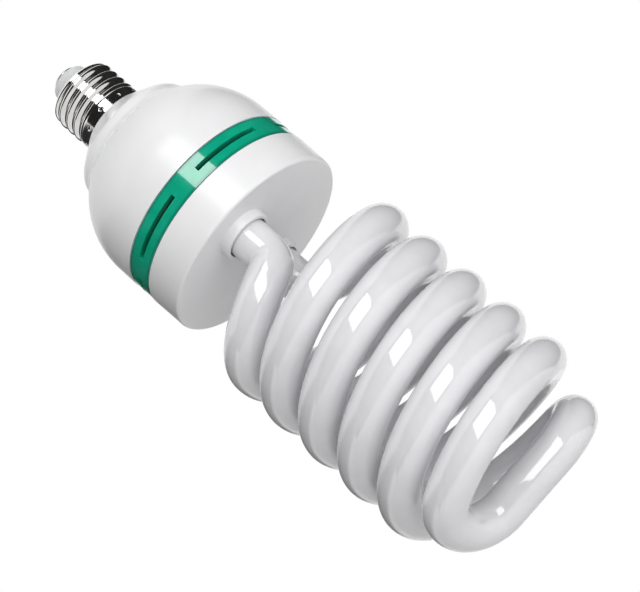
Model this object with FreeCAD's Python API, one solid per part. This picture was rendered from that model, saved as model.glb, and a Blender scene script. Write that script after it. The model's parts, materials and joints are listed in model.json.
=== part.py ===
import FreeCAD, Part
import math
import os

from FreeCAD import Vector

# Spiral energy saving bulb, in millimetres.
# The lamp hangs from its screw cap. The origin is the middle of the end contact, +Z points up out of the cap,
# and depths are measured down from the contact. The two legs of the glass tube stand on the Y axis.

# Screw cap
contact_radius = 4.8
contact_thickness = 1.2
contact_edge_round = 0.5
contact_hole_radius = 1.2
insulator_taper = 1.65
insulator_end_round = 2.4
insulator_play = 0.35
insulator_bore_radius = 1.5
insulator_flange_inset = 2.6
insulator_flange_drop = 0.3
insulator_flange_thickness = 2.0
shell_rim_depth = 7.4
shell_rim_inset = 4.6
shell_shoulder_height = 1.4
shell_sheet = 0.4
crest_radius = 13.2
thread_pitch = 3.63
thread_turns = 4
thread_flank = 50.0
thread_round = 0.95
skirt_inset = 0.1
skirt_corner_round = 0.6
skirt_length = 4.7
crimp_dot_count = 10
crimp_dot_radius = 0.6
crimp_dot_inset = 2.4

# Upper housing
wall = 1.8
neck_lip = 0.9
neck_spigot_play = 0.15
neck_spigot_gap = 0.4
neck_spigot_wall = 1.7
shoulder_inset = 0.9
shoulder_drop = 8.4
shoulder_round = 5.5
step_radius = 24.8
step_drop = 3.6
step_round = 3.0
flare_drop = 13.8
dome_round = 31.0
upper_wall_drop = 19.9
dimple_slot_count = 16
dimple_slot_span = 14.0
dimple_slot_height = 1.3
dimple_slot_deep = 0.5
dimple_slot_rise = 2.2

# Vent ring
ring_height = 9.3
ring_inset = 0.15
ring_edge_round = 0.35
tongue_length = 1.6
tongue_play = 0.15
tongue_thickness = 1.1
vent_slot_count = 6
vent_slot_span = 42.0
vent_slot_height = 1.8
seam_gap = 0.1

# Lower housing
drum_height = 14.0
drum_draft = 0.3
drum_rim_round = 1.2
face_thickness = 2.0
collar_height = 3.3
collar_wall = 1.55
collar_top_wall = 1.2
collar_foot_round = 1.0
sleeve_height = 5.2
hook_count = 3
hook_span = 14.0
hook_thickness = 1.2
hook_barb = 2.0
hook_reach = 5.0
hook_gap = 0.3
hook_play = 0.5
post_count = 3
post_radius = 1.7
post_inset = 2.9

# Glass tube
tube_radius = 7.35
leg_offset = 18.4
leg_end_inside = 9.2
elbow_drop = 10.8
elbow_inner_radius = 0.4
elbow_turn = 64.0
coil_radius = 32.7
coil_gap = 2.8
coil_drop = 21.4
coil_join_angle = 172.0
coil_turns = 2.376
bridge_length = 22.6
tip_rise = 9.8
steps_per_turn = 4
entry_steps = 2
tip_steps = 2
cement_thickness = 0.6
cement_gap = 0.05
cement_height = 4.0

# Board and its parts
board_thickness = 1.6
board_above_face = 12.0
board_play = 0.7
board_edge = 0.75
capacitor_radius = 8.0
capacitor_height = 26.0
capacitor_gap = 6.0
capacitor_spacing = 7.0
choke_shift = 1.0
choke_width = 24.0
choke_depth = 8.0
choke_height = 20.0
choke_leg = 3.0
choke_bobbin_wall = 0.8
choke_fit = 0.2
choke_bobbin_depth = 19.0
winding_inset = 0.5
winding_round = 4.0
toroid_edge = 0.3
toroid_radius = 4.6
toroid_hole_radius = 2.5
toroid_height = 4.4
turn_thickness = 0.5
turn_count = 11
turn_span = 10.0
sink_gap = 3.5
sink_width = 22.0
sink_height = 20.0
sink_thickness = 1.5
sink_fold = 3.0
transistor_gap = 1.0
transistor_width = 10.0
transistor_body_height = 9.0
transistor_body_thickness = 3.2
tab_height = 6.4
tab_thickness = 1.3
transistor_leg_height = 4.0
transistor_leg_pitch = 2.54
screw_radius = 1.4
screw_hole_radius = 1.6
screw_head_radius = 2.6
screw_head_height = 1.7
filter_gap = 1.0
filter_radius = 4.5
filter_height = 11.0
filter_flange = 1.2
filter_post_radius = 2.0
diode_gap = 0.55
diode_shift = 2.2
diode_pitch = 3.6
diode_count = 4
diode_radius = 1.35
diode_length = 5.2
resistor_angle = -50.0
resistor_step = 28.0
resistor_radius = 1.2
resistor_length = 6.3
resistor_waist = 0.25
thermistor_angle = 40.0
thermistor_radius = 4.0
thermistor_thickness = 3.4
thermistor_gap = 0.9
edge_part_inset = 3.4
resonant_gap = 3.0
resonant_shift = 2.0
resonant_width = 18.0
resonant_depth = 7.0
resonant_height = 13.0
coupling_gap = 2.5
coupling_shift = 0.5
coupling_width = 13.0
coupling_depth = 5.0
coupling_height = 10.0
film_round = 0.9
filter_coupling_gap = 1.2
fuse_gap = 1.4
fuse_radius = 1.6
fuse_length = 8.0
lead_radius = 0.7
thin_lead_radius = 0.35
lead_reach = 1.0
lead_bend = 3.0
lead_fall = 12.0
live_lead_x = 3.0
neutral_lead_x = 7.0
pin_x = 8.0
pin_size = 0.9
pin_length = 3.6
electrode_spread = 2.6

# Places and radii that follow from the sizes above
shell_rim_radius = crest_radius - shell_rim_inset
skirt_radius = crest_radius - skirt_inset
insulator_rim_radius = shell_rim_radius - insulator_play
insulator_end_radius = insulator_rim_radius - insulator_taper
insulator_flange_radius = crest_radius - insulator_flange_inset
neck_lip_radius = skirt_radius + neck_lip
shoulder_radius = step_radius - shoulder_inset
collar_bore_radius = tube_radius + cement_thickness
collar_radius = collar_bore_radius + collar_wall
collar_top_radius = collar_bore_radius + collar_top_wall
elbow_radius = tube_radius + elbow_inner_radius
coil_spacing = 2 * tube_radius + coil_gap
tip_bend_radius = (coil_radius ** 2 - (bridge_length / 2) ** 2) / (2 * coil_radius)
choke_x = -choke_shift - choke_width / 2
capacitor_x = capacitor_gap + capacitor_radius - choke_shift
capacitor_y = capacitor_spacing / 2 + capacitor_radius
capacitor_outside = capacitor_y + capacitor_radius
sink_x = -choke_shift - sink_width / 2
sink_y = choke_bobbin_depth / 2 + sink_gap
transistor_spacing = transistor_width + transistor_gap
diode_x = diode_shift - choke_shift
diode_y = capacitor_outside + diode_gap + thin_lead_radius + lead_reach + diode_length / 2
resonant_x = -choke_shift - resonant_shift - resonant_width / 2
resonant_y = -choke_bobbin_depth / 2 - resonant_gap - resonant_depth / 2
coupling_x = -choke_shift - coupling_shift - coupling_width / 2
coupling_y = resonant_y - resonant_depth / 2 - coupling_gap - coupling_depth / 2
filter_x = coupling_x + coupling_width / 2 + filter_coupling_gap + filter_radius
filter_y = -capacitor_outside - filter_gap - filter_radius
fuse_x = choke_x - choke_width / 2 - fuse_gap - fuse_radius

# The board is as large as its outermost parts need, and the housing as wide as the board needs.
capacitor_reach = math.hypot(capacitor_x, capacitor_y) + capacitor_radius
board_radius = board_edge + max(
    math.hypot(fuse_x - fuse_radius, fuse_length / 2),
    math.hypot(sink_x - sink_width / 2, sink_y + sink_thickness + tab_thickness + transistor_body_thickness),
    math.hypot(diode_x + (diode_count - 1) * diode_pitch + thin_lead_radius,
               diode_y + diode_length / 2 + lead_reach + thin_lead_radius),
    math.hypot(resonant_x - resonant_width / 2, resonant_y - resonant_depth / 2),
    math.hypot(coupling_x - coupling_width / 2, coupling_y - coupling_depth / 2),
    math.hypot(filter_x, filter_y) + filter_radius,
    capacitor_reach + thermistor_gap + thermistor_thickness / 2 + edge_part_inset - board_edge,
)
edge_circle = board_radius - edge_part_inset
toroid_x = board_radius - toroid_edge - turn_thickness - toroid_radius
post_circle = board_radius - post_inset
bore_radius = board_radius + board_play + hook_thickness + hook_play + tongue_thickness
body_radius = bore_radius + wall

# Depths that follow from the sizes above
thread_start = shell_rim_depth + shell_shoulder_height
thread_end = thread_start + thread_turns * thread_pitch
skirt_end = thread_end + skirt_length
shoulder_depth = skirt_end + shoulder_drop
step_depth = shoulder_depth + step_drop
dome_corner_depth = step_depth + flare_drop
ring_top = dome_corner_depth + upper_wall_drop
ring_bottom = ring_top + ring_height
face_depth = ring_bottom + drum_height
mouth_depth = face_depth + collar_height
board_top = face_depth - board_above_face - board_thickness - face_thickness
board_bottom = board_top + board_thickness
leg_end_depth = face_depth - leg_end_inside
elbow_depth = face_depth + elbow_drop
coil_depth = face_depth + coil_drop


def at(radius, depth, angle=0.0):
    """A point at a radius and an angle in degrees, at a depth below the contact."""
    turn = math.radians(angle)
    return Vector(radius * math.cos(turn), radius * math.sin(turn), -depth)


def rounded_edges(corners, closed=True):
    """Edges through corners (point, round): straight runs joined by tangent arcs."""
    count = len(corners)
    spans = []
    for index, (point, radius) in enumerate(corners):
        if radius == 0 or (not closed and index in (0, count - 1)):
            spans.append((point, None, point))
            continue
        back = (corners[index - 1][0] - point).normalize()
        ahead = (corners[(index + 1) % count][0] - point).normalize()
        half = back.getAngle(ahead) / 2
        cut = radius / math.tan(half)
        middle = point + (back + ahead).normalize() * (radius / math.sin(half) - radius)
        spans.append((point + back * cut, middle, point + ahead * cut))
    edges = []
    for index, (start, middle, end) in enumerate(spans):
        if middle is not None:
            edges.append(Part.Arc(start, middle, end).toShape())
        if index == count - 1 and not closed:
            break
        following = spans[(index + 1) % count][0]
        if end.distanceToPoint(following) > 1e-6:
            edges.append(Part.LineSegment(end, following).toShape())
    return edges


def section(corners):
    """A face in the XZ plane from corners (radius, depth, round)."""
    outline = [(at(corner[0], corner[1]), corner[2] if len(corner) > 2 else 0) for corner in corners]
    return Part.Face(Part.Wire(rounded_edges(outline)))


def turned(corners, span=360.0, start=0.0):
    """A section turned about Z by a span of degrees from a start angle."""
    solid = section(corners).revolve(Vector(), Vector(0, 0, 1), span)
    solid.rotate(Vector(), Vector(0, 0, 1), start)
    return solid


def inset(corners, distance):
    """An open chain of corners moved sideways to its left by a distance, rounds adjusted."""
    moved = []
    last = len(corners) - 1
    sides = []
    for (r0, d0, *_), (r1, d1, *_) in zip(corners, corners[1:]):
        length = math.hypot(r1 - r0, d1 - d0)
        sides.append(((r1 - r0) / length, (d1 - d0) / length))
    for index, corner in enumerate(corners):
        radius, depth = corner[0], corner[1]
        before = sides[max(index - 1, 0)]
        after = sides[min(index, last - 1)]
        bend = before[0] * after[1] - before[1] * after[0]
        normal = (-before[1] - after[1], before[0] + after[0])
        scale = distance / (1 + before[0] * after[0] + before[1] * after[1])
        corner_round = corner[2] if len(corner) > 2 else 0
        if corner_round:
            corner_round += -distance if bend > 0 else distance
        moved.append((radius + normal[0] * scale, depth + normal[1] * scale, max(corner_round, 0)))
    return moved


def around(count, start=0.0):
    """Angles of a number of equal steps round the axis."""
    return [start + 360.0 * index / count for index in range(count)]


def round_bar(x, y, radius, top, bottom):
    """An upright round bar between two depths."""
    return Part.makeCylinder(radius, bottom - top, Vector(x, y, -bottom))


def block(x, y, width, depth_y, top, height):
    """A box centred on x and y, hanging from a depth."""
    return Part.makeBox(width, depth_y, height, Vector(x - width / 2, y - depth_y / 2, -top - height))


def standing(x, y, width, depth_y, height, corner_round=0.0):
    """A box that stands on the board, with its upright and top edges rounded."""
    box = block(x, y, width, depth_y, board_top - height, height)
    if corner_round:
        top_z = height - board_top
        edges = [edge for edge in box.Edges if edge.BoundBox.ZMax > top_z - 1e-6]
        box = box.makeFillet(corner_round, edges)
    return box


def wire_run(points, radius, bend):
    """A round wire along straight runs joined by tangent arcs."""
    path = Part.Wire(rounded_edges([(point, bend) for point in points], closed=False))
    heading = (points[1] - points[0]).normalize()
    profile = Part.Wire(Part.Circle(points[0], heading, radius).toShape())
    return path.makePipeShell([profile], True, False)


def placed(shape, x=0.0, y=0.0, angle=0.0):
    """A copy turned about Z and moved sideways."""
    copy = shape.copy()
    copy.rotate(Vector(), Vector(0, 0, 1), angle)
    copy.translate(Vector(x, y, 0))
    return copy


# Screw cap

def centre_contact():
    """Round end contact with a hole for the solder."""
    return turned([
        (contact_hole_radius, 0),
        (contact_radius, 0, contact_edge_round),
        (contact_radius, contact_thickness),
        (contact_hole_radius, contact_thickness),
    ])


def contact_solder():
    """Solder that fills the contact's hole."""
    radius = contact_hole_radius - cement_gap
    return turned([(0, 0), (radius, 0), (radius, contact_thickness), (0, contact_thickness)])


def cap_insulator():
    """Moulded cone between contact and shell, held behind the shell's rim by a flange."""
    flange_top = thread_start + insulator_flange_drop
    flange_bottom = flange_top + insulator_flange_thickness
    return turned([
        (insulator_bore_radius, contact_thickness),
        (insulator_end_radius, contact_thickness, insulator_end_round),
        (insulator_rim_radius, shell_rim_depth - 0.4, 0.6),
        (insulator_rim_radius, flange_top),
        (insulator_flange_radius, flange_top),
        (insulator_flange_radius, flange_bottom),
        (insulator_bore_radius, flange_bottom),
    ])


def thread_rounding():
    """Height that the rounding takes off each crest and root corner."""
    return thread_round * (1 / math.cos(math.radians(thread_flank)) - 1)


def thread_height():
    """Crest to root."""
    return thread_pitch / 2 * math.tan(math.radians(thread_flank)) - 2 * thread_rounding()


def thread_root():
    """Radius where the flanks of a root would meet."""
    return crest_radius - thread_height() - thread_rounding()


def skirt_top():
    """Depth where the thread has run out into the plain skirt."""
    return thread_end + (skirt_radius - thread_root()) / math.tan(math.radians(thread_flank))


def shell_chain():
    """Outer line of the shell: rim, shoulder, rolled thread, plain skirt."""
    crest = crest_radius + thread_rounding()
    root = thread_root()
    chain = [(shell_rim_radius, shell_rim_depth), (root, thread_start, thread_round)]
    for turn in range(thread_turns):
        chain.append((crest, thread_start + (turn + 0.5) * thread_pitch, thread_round))
        chain.append((root, thread_start + (turn + 1) * thread_pitch, thread_round))
    chain.append((skirt_radius, skirt_top(), skirt_corner_round))
    chain.append((skirt_radius, skirt_end))
    return chain


def screw_shell():
    """Thin plated shell: rolled thread, skirt and crimp dots."""
    outer = shell_chain()
    solid = turned(outer + inset(outer, shell_sheet)[::-1])
    for angle in around(crimp_dot_count, -90.0):
        start = at(skirt_radius - 2 * shell_sheet, skirt_end - crimp_dot_inset, angle)
        heading = at(1.0, 0.0, angle)
        solid = solid.cut(Part.makeCylinder(crimp_dot_radius, 3 * shell_sheet, start, heading))
    return solid


# Housings and vent ring

def upper_chain():
    """Outer line of the upper housing from the neck lip to the vent ring."""
    return [
        (neck_lip_radius, skirt_end + seam_gap),
        (shoulder_radius, shoulder_depth, shoulder_round),
        (step_radius, step_depth, step_round),
        (body_radius, dome_corner_depth, dome_round),
        (body_radius, ring_top - seam_gap),
    ]


def hook_top():
    """Depth of the snap hooks' tops, in the upper housing."""
    return ring_top - hook_reach


def upper_housing():
    """Dome shaped shell with its neck spigot, hook groove and ring of short shallow slots."""
    spigot_radius = skirt_radius - shell_sheet - neck_spigot_play
    spigot_bore = spigot_radius - neck_spigot_wall
    spigot_top = skirt_top() + neck_spigot_gap
    outer = upper_chain()
    inner = inset(outer, wall)
    inner[0] = (spigot_bore, skirt_end + wall)
    solid = turned([(spigot_bore, spigot_top), (spigot_radius, spigot_top, 0.4),
                    (spigot_radius, skirt_end + seam_gap)] + outer + inner[::-1])
    groove = turned([
        (bore_radius - 1.0, hook_top() + 1.3),
        (bore_radius + 0.8, hook_top() + 1.3),
        (bore_radius + 0.8, hook_top() + 2.6),
        (bore_radius - 1.0, hook_top() + 2.6),
    ])
    slope = (body_radius - step_radius) / flare_drop
    slot_depth = step_depth + dimple_slot_rise
    slot_radius = step_radius + dimple_slot_rise * slope
    slot = turned([
        (slot_radius - dimple_slot_deep, slot_depth - dimple_slot_height / 2),
        (slot_radius + 2.0, slot_depth - dimple_slot_height / 2),
        (slot_radius + 2.0, slot_depth + dimple_slot_height / 2),
        (slot_radius - dimple_slot_deep, slot_depth + dimple_slot_height / 2),
    ], dimple_slot_span)
    cutters = [groove]
    for angle in around(dimple_slot_count, -90.0 - dimple_slot_span / 2 + 180.0 / dimple_slot_count):
        cutters.append(placed(slot, angle=angle))
    return solid.cut(Part.makeCompound(cutters))


def vent_ring():
    """Clear ring between the housings, with long thin slots and a tongue on each side."""
    outer_radius = body_radius - ring_inset
    tongue_outer = bore_radius - tongue_play
    tongue_inner = tongue_outer - tongue_thickness
    ring = turned([
        (tongue_inner, ring_top - tongue_length),
        (tongue_outer, ring_top - tongue_length, 0.3),
        (tongue_outer, ring_top),
        (outer_radius, ring_top, ring_edge_round),
        (outer_radius, ring_bottom, ring_edge_round),
        (tongue_outer, ring_bottom),
        (tongue_outer, ring_bottom + tongue_length, 0.3),
        (tongue_inner, ring_bottom + tongue_length),
    ])
    middle = (ring_top + ring_bottom) / 2
    slot = turned([
        (tongue_inner - 1.0, middle - vent_slot_height / 2),
        (outer_radius + 1.0, middle - vent_slot_height / 2),
        (outer_radius + 1.0, middle + vent_slot_height / 2),
        (tongue_inner - 1.0, middle + vent_slot_height / 2),
    ], vent_slot_span)
    slots = [placed(slot, angle=angle) for angle in around(vent_slot_count, -vent_slot_span / 2)]
    return ring.cut(Part.makeCompound(slots))


def leg_places():
    """Signed Y places of the two legs."""
    return (-leg_offset, leg_offset)


def collar():
    """One collar with its sleeve inside, before the bore is cut, on the Z axis."""
    return turned([
        (0, face_depth - sleeve_height),
        (collar_radius, face_depth - sleeve_height, 0.5),
        (collar_radius, face_depth, 0),
        (collar_radius + collar_foot_round, face_depth, 0),
        (collar_radius, face_depth + 0.6, collar_foot_round / 2),
        (collar_top_radius, mouth_depth, 0.5),
        (0, mouth_depth),
    ])


def snap_hook():
    """One snap hook that reaches past the vent ring and catches in the upper housing."""
    outer = bore_radius - tongue_thickness - hook_play
    inner = outer - hook_thickness
    top = hook_top()
    root = ring_bottom + 3.0
    return turned([
        (inner, top),
        (outer, top),
        (outer + hook_barb, top + 1.7),
        (outer + hook_barb, top + 2.6 - hook_gap),
        (outer, top + 2.6 - hook_gap),
        (outer, root),
        (bore_radius + 0.4, root + 2.0),
        (bore_radius + 0.4, root + 6.0),
        (inner, root + 6.0),
    ], hook_span, -hook_span / 2)


def lower_housing():
    """Drum with a rounded rim, flat face, two collars, snap hooks and posts for the board."""
    chain = [
        (body_radius, ring_bottom + seam_gap),
        (body_radius - drum_draft, face_depth, drum_rim_round),
        (0, face_depth),
    ]
    inner = inset(chain, wall)
    inner = [(inner[0][0], ring_bottom + seam_gap), (inner[1][0], face_depth - face_thickness, 1.0),
             (0, face_depth - face_thickness)]
    solid = turned(chain + inner[::-1])
    extras = [placed(collar(), y=place) for place in leg_places()]
    extras += [placed(snap_hook(), angle=angle) for angle in around(hook_count, 30.0)]
    for angle in around(post_count):
        spot = at(post_circle, 0, angle)
        extras.append(round_bar(spot.x, spot.y, post_radius, board_bottom, face_depth - face_thickness / 2))
    solid = solid.multiFuse(extras)
    bores = [round_bar(0, place, collar_bore_radius, leg_end_depth - 2, mouth_depth + 1)
             for place in leg_places()]
    return solid.cut(Part.makeCompound(bores)).removeSplitter()


# Glass tube

def way_point(centre_x, centre_y, radius, angle, depth, slope):
    """A point and heading on a plan circle, at an angle counted on as the tube winds down."""
    turn = math.radians(angle)
    point = Vector(centre_x + radius * math.cos(turn), -centre_y - radius * math.sin(turn), -depth)
    return point, Vector(-math.sin(turn), -math.cos(turn), -slope).normalize()


def coil_depth_at(angle):
    """Depth of the coil's middle line at an angle."""
    return coil_depth + coil_spacing * (angle - 90.0) / 180.0


def coil_slope():
    """Steepness of the coil."""
    return coil_spacing / (math.pi * coil_radius)


def blend(share, length, start, end, slope_start, slope_end):
    """Depth and slope part of the way along a stretch whose ends and end slopes are given."""
    a, b = slope_start * length, slope_end * length
    c, d = 3 * (end - start) - 2 * a - b, a + b - 2 * (end - start)
    depth = start + share * (a + share * (c + share * d))
    return depth, (a + share * (2 * c + share * 3 * d)) / length


def entry_way():
    """The leg elbow's end and way points from it out to the coil."""
    turn = math.radians(coil_join_angle)
    reach = leg_offset * math.sin(turn)
    radius = (leg_offset ** 2 - 2 * coil_radius * reach + coil_radius ** 2) / (2 * (coil_radius - reach))
    centre_x = (coil_radius - radius) * math.cos(turn)
    centre_y = (coil_radius - radius) * math.sin(turn)
    first = math.degrees(math.atan2(leg_offset - centre_y, -centre_x))
    leg_heading = Vector(-math.sin(math.radians(first)), -math.cos(math.radians(first)), 0)
    fall = math.radians(elbow_turn)
    run = elbow_radius * (1 - math.cos(fall))
    start_depth = elbow_depth + elbow_radius * math.sin(fall)
    elbow_end = Vector(0, -leg_offset, -start_depth) + leg_heading * run
    elbow_heading = leg_heading * math.sin(fall) + Vector(0, 0, -math.cos(fall))
    length = math.radians(coil_join_angle - first) * radius - run
    way = [(elbow_end, elbow_heading)]
    for step in range(1, entry_steps):
        share = step / entry_steps
        depth, slope = blend(share, length, start_depth, coil_depth_at(coil_join_angle),
                             1 / math.tan(fall), coil_slope())
        angle = first + math.degrees((run + share * length) / radius)
        way.append(way_point(centre_x, centre_y, radius, angle, depth, slope))
    return way


def coil_way():
    """Way points down the coil."""
    steps = round(coil_turns * steps_per_turn)
    angles = [coil_join_angle + 360.0 * coil_turns * step / steps for step in range(steps + 1)]
    return [way_point(0, 0, coil_radius, angle, coil_depth_at(angle), coil_slope()) for angle in angles]


def tip_way():
    """Way points of the tighter bend that turns in to the bridge across the axis."""
    end_angle = coil_join_angle + 360.0 * coil_turns
    swing = coil_radius - tip_bend_radius
    bend = 90.0 + math.degrees(math.asin(tip_bend_radius / swing))
    length = tip_bend_radius * math.radians(bend)
    start = coil_depth_at(end_angle)
    turn = math.radians(end_angle)
    way = []
    for step in range(1, tip_steps + 1):
        share = step / tip_steps
        depth, slope = blend(share, length, start, start + tip_rise, coil_slope(), 0.0)
        way.append(way_point(swing * math.cos(turn), swing * math.sin(turn), tip_bend_radius,
                             end_angle + share * bend, depth, slope))
    return way


def arc_to(start, heading, end):
    """Arc that leaves a point along a heading and ends at another point."""
    chord = end - start
    along = Vector(chord).normalize()
    side = (heading - along * heading.dot(along)).normalize()
    middle = start + chord / 2 + side * (chord.Length / 2 * math.tan(heading.getAngle(along) / 2))
    return Part.Arc(start, middle, end).toShape()


def arc_pair(start, heading, end, end_heading):
    """Two arcs that meet smoothly and keep the headings at both ends."""
    span = end - start
    both = heading + end_heading
    spread = 2 * (1 - heading.dot(end_heading))
    reach = (math.sqrt(span.dot(both) ** 2 + spread * span.dot(span)) - span.dot(both)) / spread
    middle = (start + heading * reach + end - end_heading * reach) / 2
    return [arc_to(start, heading, middle), arc_to(end, end_heading * -1, middle)]


def tube_path():
    """Middle line of the tube, from one leg's end over the tip to the other leg's end."""
    way = entry_way() + coil_way() + tip_way()
    leg_top = Vector(0, -leg_offset, -leg_end_depth)
    leg_foot = Vector(0, -leg_offset, -elbow_depth)
    half = [Part.LineSegment(leg_top, leg_foot).toShape(), arc_to(leg_foot, Vector(0, 0, -1), way[0][0])]
    for (start, heading), (end, end_heading) in zip(way, way[1:]):
        half += arc_pair(start, heading, end, end_heading)
    tip = way[-1][0]
    bridge = Part.LineSegment(tip, Vector(-tip.x, -tip.y, tip.z)).toShape()
    other = [edge.rotated(Vector(), Vector(0, 0, 1), 180.0) for edge in half]
    return Part.Wire(half + [bridge] + other[::-1])


def spiral_tube():
    """Sealed glass tube: two legs, double coil and the bridge at the tip, in one piece."""
    start = Vector(0, -leg_offset, -leg_end_depth)
    profile = Part.Wire(Part.Circle(start, Vector(0, 0, -1), tube_radius).toShape())
    return tube_path().makePipeShell([profile], True, False)


def leg_cement():
    """Two rings of cement between the legs and the sleeves."""
    top = face_depth - sleeve_height
    ring = turned([
        (tube_radius + cement_gap, top),
        (collar_bore_radius - cement_gap, top),
        (collar_bore_radius - cement_gap, top + cement_height),
        (tube_radius + cement_gap, top + cement_height),
    ])
    return Part.makeCompound([placed(ring, y=place) for place in leg_places()])


# Board and its parts

def circuit_board():
    """Round board on the posts of the lower housing."""
    return round_bar(0, 0, board_radius, board_top, board_bottom)


def bulk_capacitor(y):
    """Upright can with a groove near its foot and a scored dome top."""
    top = board_top - capacitor_height
    can = turned([
        (0, top),
        (capacitor_radius, top, 0.8),
        (capacitor_radius, board_top - 3.6, 0.3),
        (capacitor_radius - 0.6, board_top - 3.0, 0.3),
        (capacitor_radius, board_top - 2.4, 0.3),
        (capacitor_radius, board_top),
        (0, board_top),
    ])
    return placed(can, capacitor_x, y)


def choke_window():
    """Height of the openings in the choke's core."""
    return choke_height - 2 * choke_leg


def choke_core():
    """Ferrite core with a middle leg and two openings."""
    core = standing(choke_x, 0, choke_width, choke_depth, choke_height)
    opening = (choke_width - 4 * choke_leg) / 2
    shift = choke_leg + opening / 2
    cutters = [block(choke_x + side * shift, 0, opening, 2 * choke_depth,
                     board_top - choke_height + choke_leg, choke_window()) for side in (-1, 1)]
    return core.cut(Part.makeCompound(cutters))


def choke_bobbin():
    """Moulded spool round the core's middle leg."""
    height = choke_window() - 2 * choke_fit
    top = board_top - choke_height + choke_leg + choke_fit
    inner_x = 2 * choke_leg + 2 * choke_fit
    inner_y = choke_depth + 2 * choke_fit
    flange_x = choke_width - 2 * choke_leg - 2 * choke_fit
    wall_x = inner_x + 2 * choke_bobbin_wall
    wall_y = inner_y + 2 * choke_bobbin_wall
    spool = block(choke_x, 0, wall_x, wall_y, top, height)
    for flange_top in (top, top + height - 1.0):
        spool = spool.fuse(block(choke_x, 0, flange_x, choke_bobbin_depth, flange_top, 1.0))
    return spool.cut(block(choke_x, 0, inner_x, inner_y, top - 1.0, height + 2.0)).removeSplitter()


def choke_winding():
    """Copper wound on the spool, with rounded corners."""
    height = choke_window() - 2 * choke_fit - 2.0 - 2 * cement_gap
    top = board_top - choke_height + choke_leg + choke_fit + 1.0 + cement_gap
    wall_x = 2 * choke_leg + 2 * choke_fit + 2 * choke_bobbin_wall + 2 * cement_gap
    wall_y = choke_depth + 2 * choke_fit + 2 * choke_bobbin_wall + 2 * cement_gap
    outer_x = choke_width - 2 * choke_leg - 2 * choke_fit - 2 * winding_inset
    body = block(choke_x, 0, outer_x, choke_bobbin_depth - 2 * winding_inset, top, height)
    upright = [edge for edge in body.Edges if edge.BoundBox.ZLength > height / 2]
    body = body.makeFillet(winding_round, upright)
    return body.cut(block(choke_x, 0, wall_x, wall_y, top - 1.0, height + 2.0))


def toroid_middle():
    """Depth of the drive toroid's middle: its turns touch the board."""
    return board_top - toroid_height / 2 - turn_thickness - cement_gap


def drive_toroid():
    """Small ferrite ring with rounded edges."""
    top = toroid_middle() - toroid_height / 2
    bottom = toroid_middle() + toroid_height / 2
    ring = turned([
        (toroid_hole_radius, top, 0.5),
        (toroid_radius, top, 0.5),
        (toroid_radius, bottom, 0.5),
        (toroid_hole_radius, bottom, 0.5),
    ])
    return placed(ring, toroid_x)


def drive_winding():
    """Turns of wire round the ferrite ring."""
    low = toroid_hole_radius - cement_gap
    high = toroid_radius + cement_gap
    half = toroid_height / 2 + cement_gap
    middle = toroid_middle()
    loop = section([
        (low - turn_thickness, middle - half - turn_thickness, 0.3),
        (high + turn_thickness, middle - half - turn_thickness, 0.3),
        (high + turn_thickness, middle + half + turn_thickness, 0.3),
        (low - turn_thickness, middle + half + turn_thickness, 0.3),
    ]).cut(section([(low, middle - half), (high, middle - half), (high, middle + half), (low, middle + half)]))
    turn = loop.revolve(Vector(), Vector(0, 0, 1), turn_span)
    return Part.makeCompound([placed(placed(turn, angle=angle), toroid_x) for angle in around(turn_count)])


def transistor_places():
    """X places of the two transistors."""
    return (sink_x - transistor_spacing / 2, sink_x + transistor_spacing / 2)


def screw_depth():
    """Depth of the screws that hold the transistors."""
    return board_top - transistor_leg_height - transistor_body_height - tab_height / 2


def sink_face():
    """Y of the heat sink's face that the transistors lie on."""
    return sink_y + sink_thickness


def heat_sink():
    """Folded aluminium plate behind the transistors."""
    plate = standing(sink_x, sink_y + sink_thickness / 2, sink_width, sink_thickness, sink_height)
    fold = block(sink_x, sink_y - sink_fold / 2 + sink_thickness / 2, sink_width, sink_fold + sink_thickness,
                 board_top - sink_height, sink_thickness)
    plate = plate.fuse(fold).removeSplitter()
    holes = [Part.makeCylinder(screw_hole_radius, 3 * sink_thickness,
                               Vector(x, sink_y - sink_thickness, -screw_depth()), Vector(0, 1, 0))
             for x in transistor_places()]
    return plate.cut(Part.makeCompound(holes))


def transistor(x):
    """Moulded body on a metal tab, with three legs down to the board."""
    body_top = board_top - transistor_leg_height - transistor_body_height
    tab = block(x, sink_face() + tab_thickness / 2, transistor_width, tab_thickness, body_top - tab_height,
                tab_height + transistor_body_height)
    body = block(x, sink_face() + tab_thickness + transistor_body_thickness / 2, transistor_width,
                 transistor_body_thickness, body_top, transistor_body_height)
    solid = tab.fuse(body)
    for shift in (-transistor_leg_pitch, 0.0, transistor_leg_pitch):
        solid = solid.fuse(block(x + shift, sink_face() + tab_thickness + 0.8, 0.8, 0.5,
                                 board_top - transistor_leg_height - 0.5, transistor_leg_height + 0.5))
    hole = Part.makeCylinder(screw_hole_radius, 3 * tab_thickness,
                             Vector(x, sink_face() - tab_thickness, -screw_depth()), Vector(0, 1, 0))
    return solid.cut(hole)


def heat_sink_screws():
    """Two pan head screws through the transistors' tabs."""
    screws = []
    for x in transistor_places():
        head_y = sink_face() + tab_thickness
        head = Part.makeCylinder(screw_head_radius, screw_head_height, Vector(x, head_y, -screw_depth()),
                                 Vector(0, 1, 0))
        rim = [edge for edge in head.Edges if edge.BoundBox.YMin > head_y + 0.9 * screw_head_height]
        head = head.makeFillet(0.6, rim)
        length = sink_thickness + tab_thickness + 1.0
        shank = Part.makeCylinder(screw_radius, length, Vector(x, head_y - length, -screw_depth()),
                                  Vector(0, 1, 0))
        screws.append(head.fuse(shank))
    return Part.makeCompound(screws)


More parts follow.
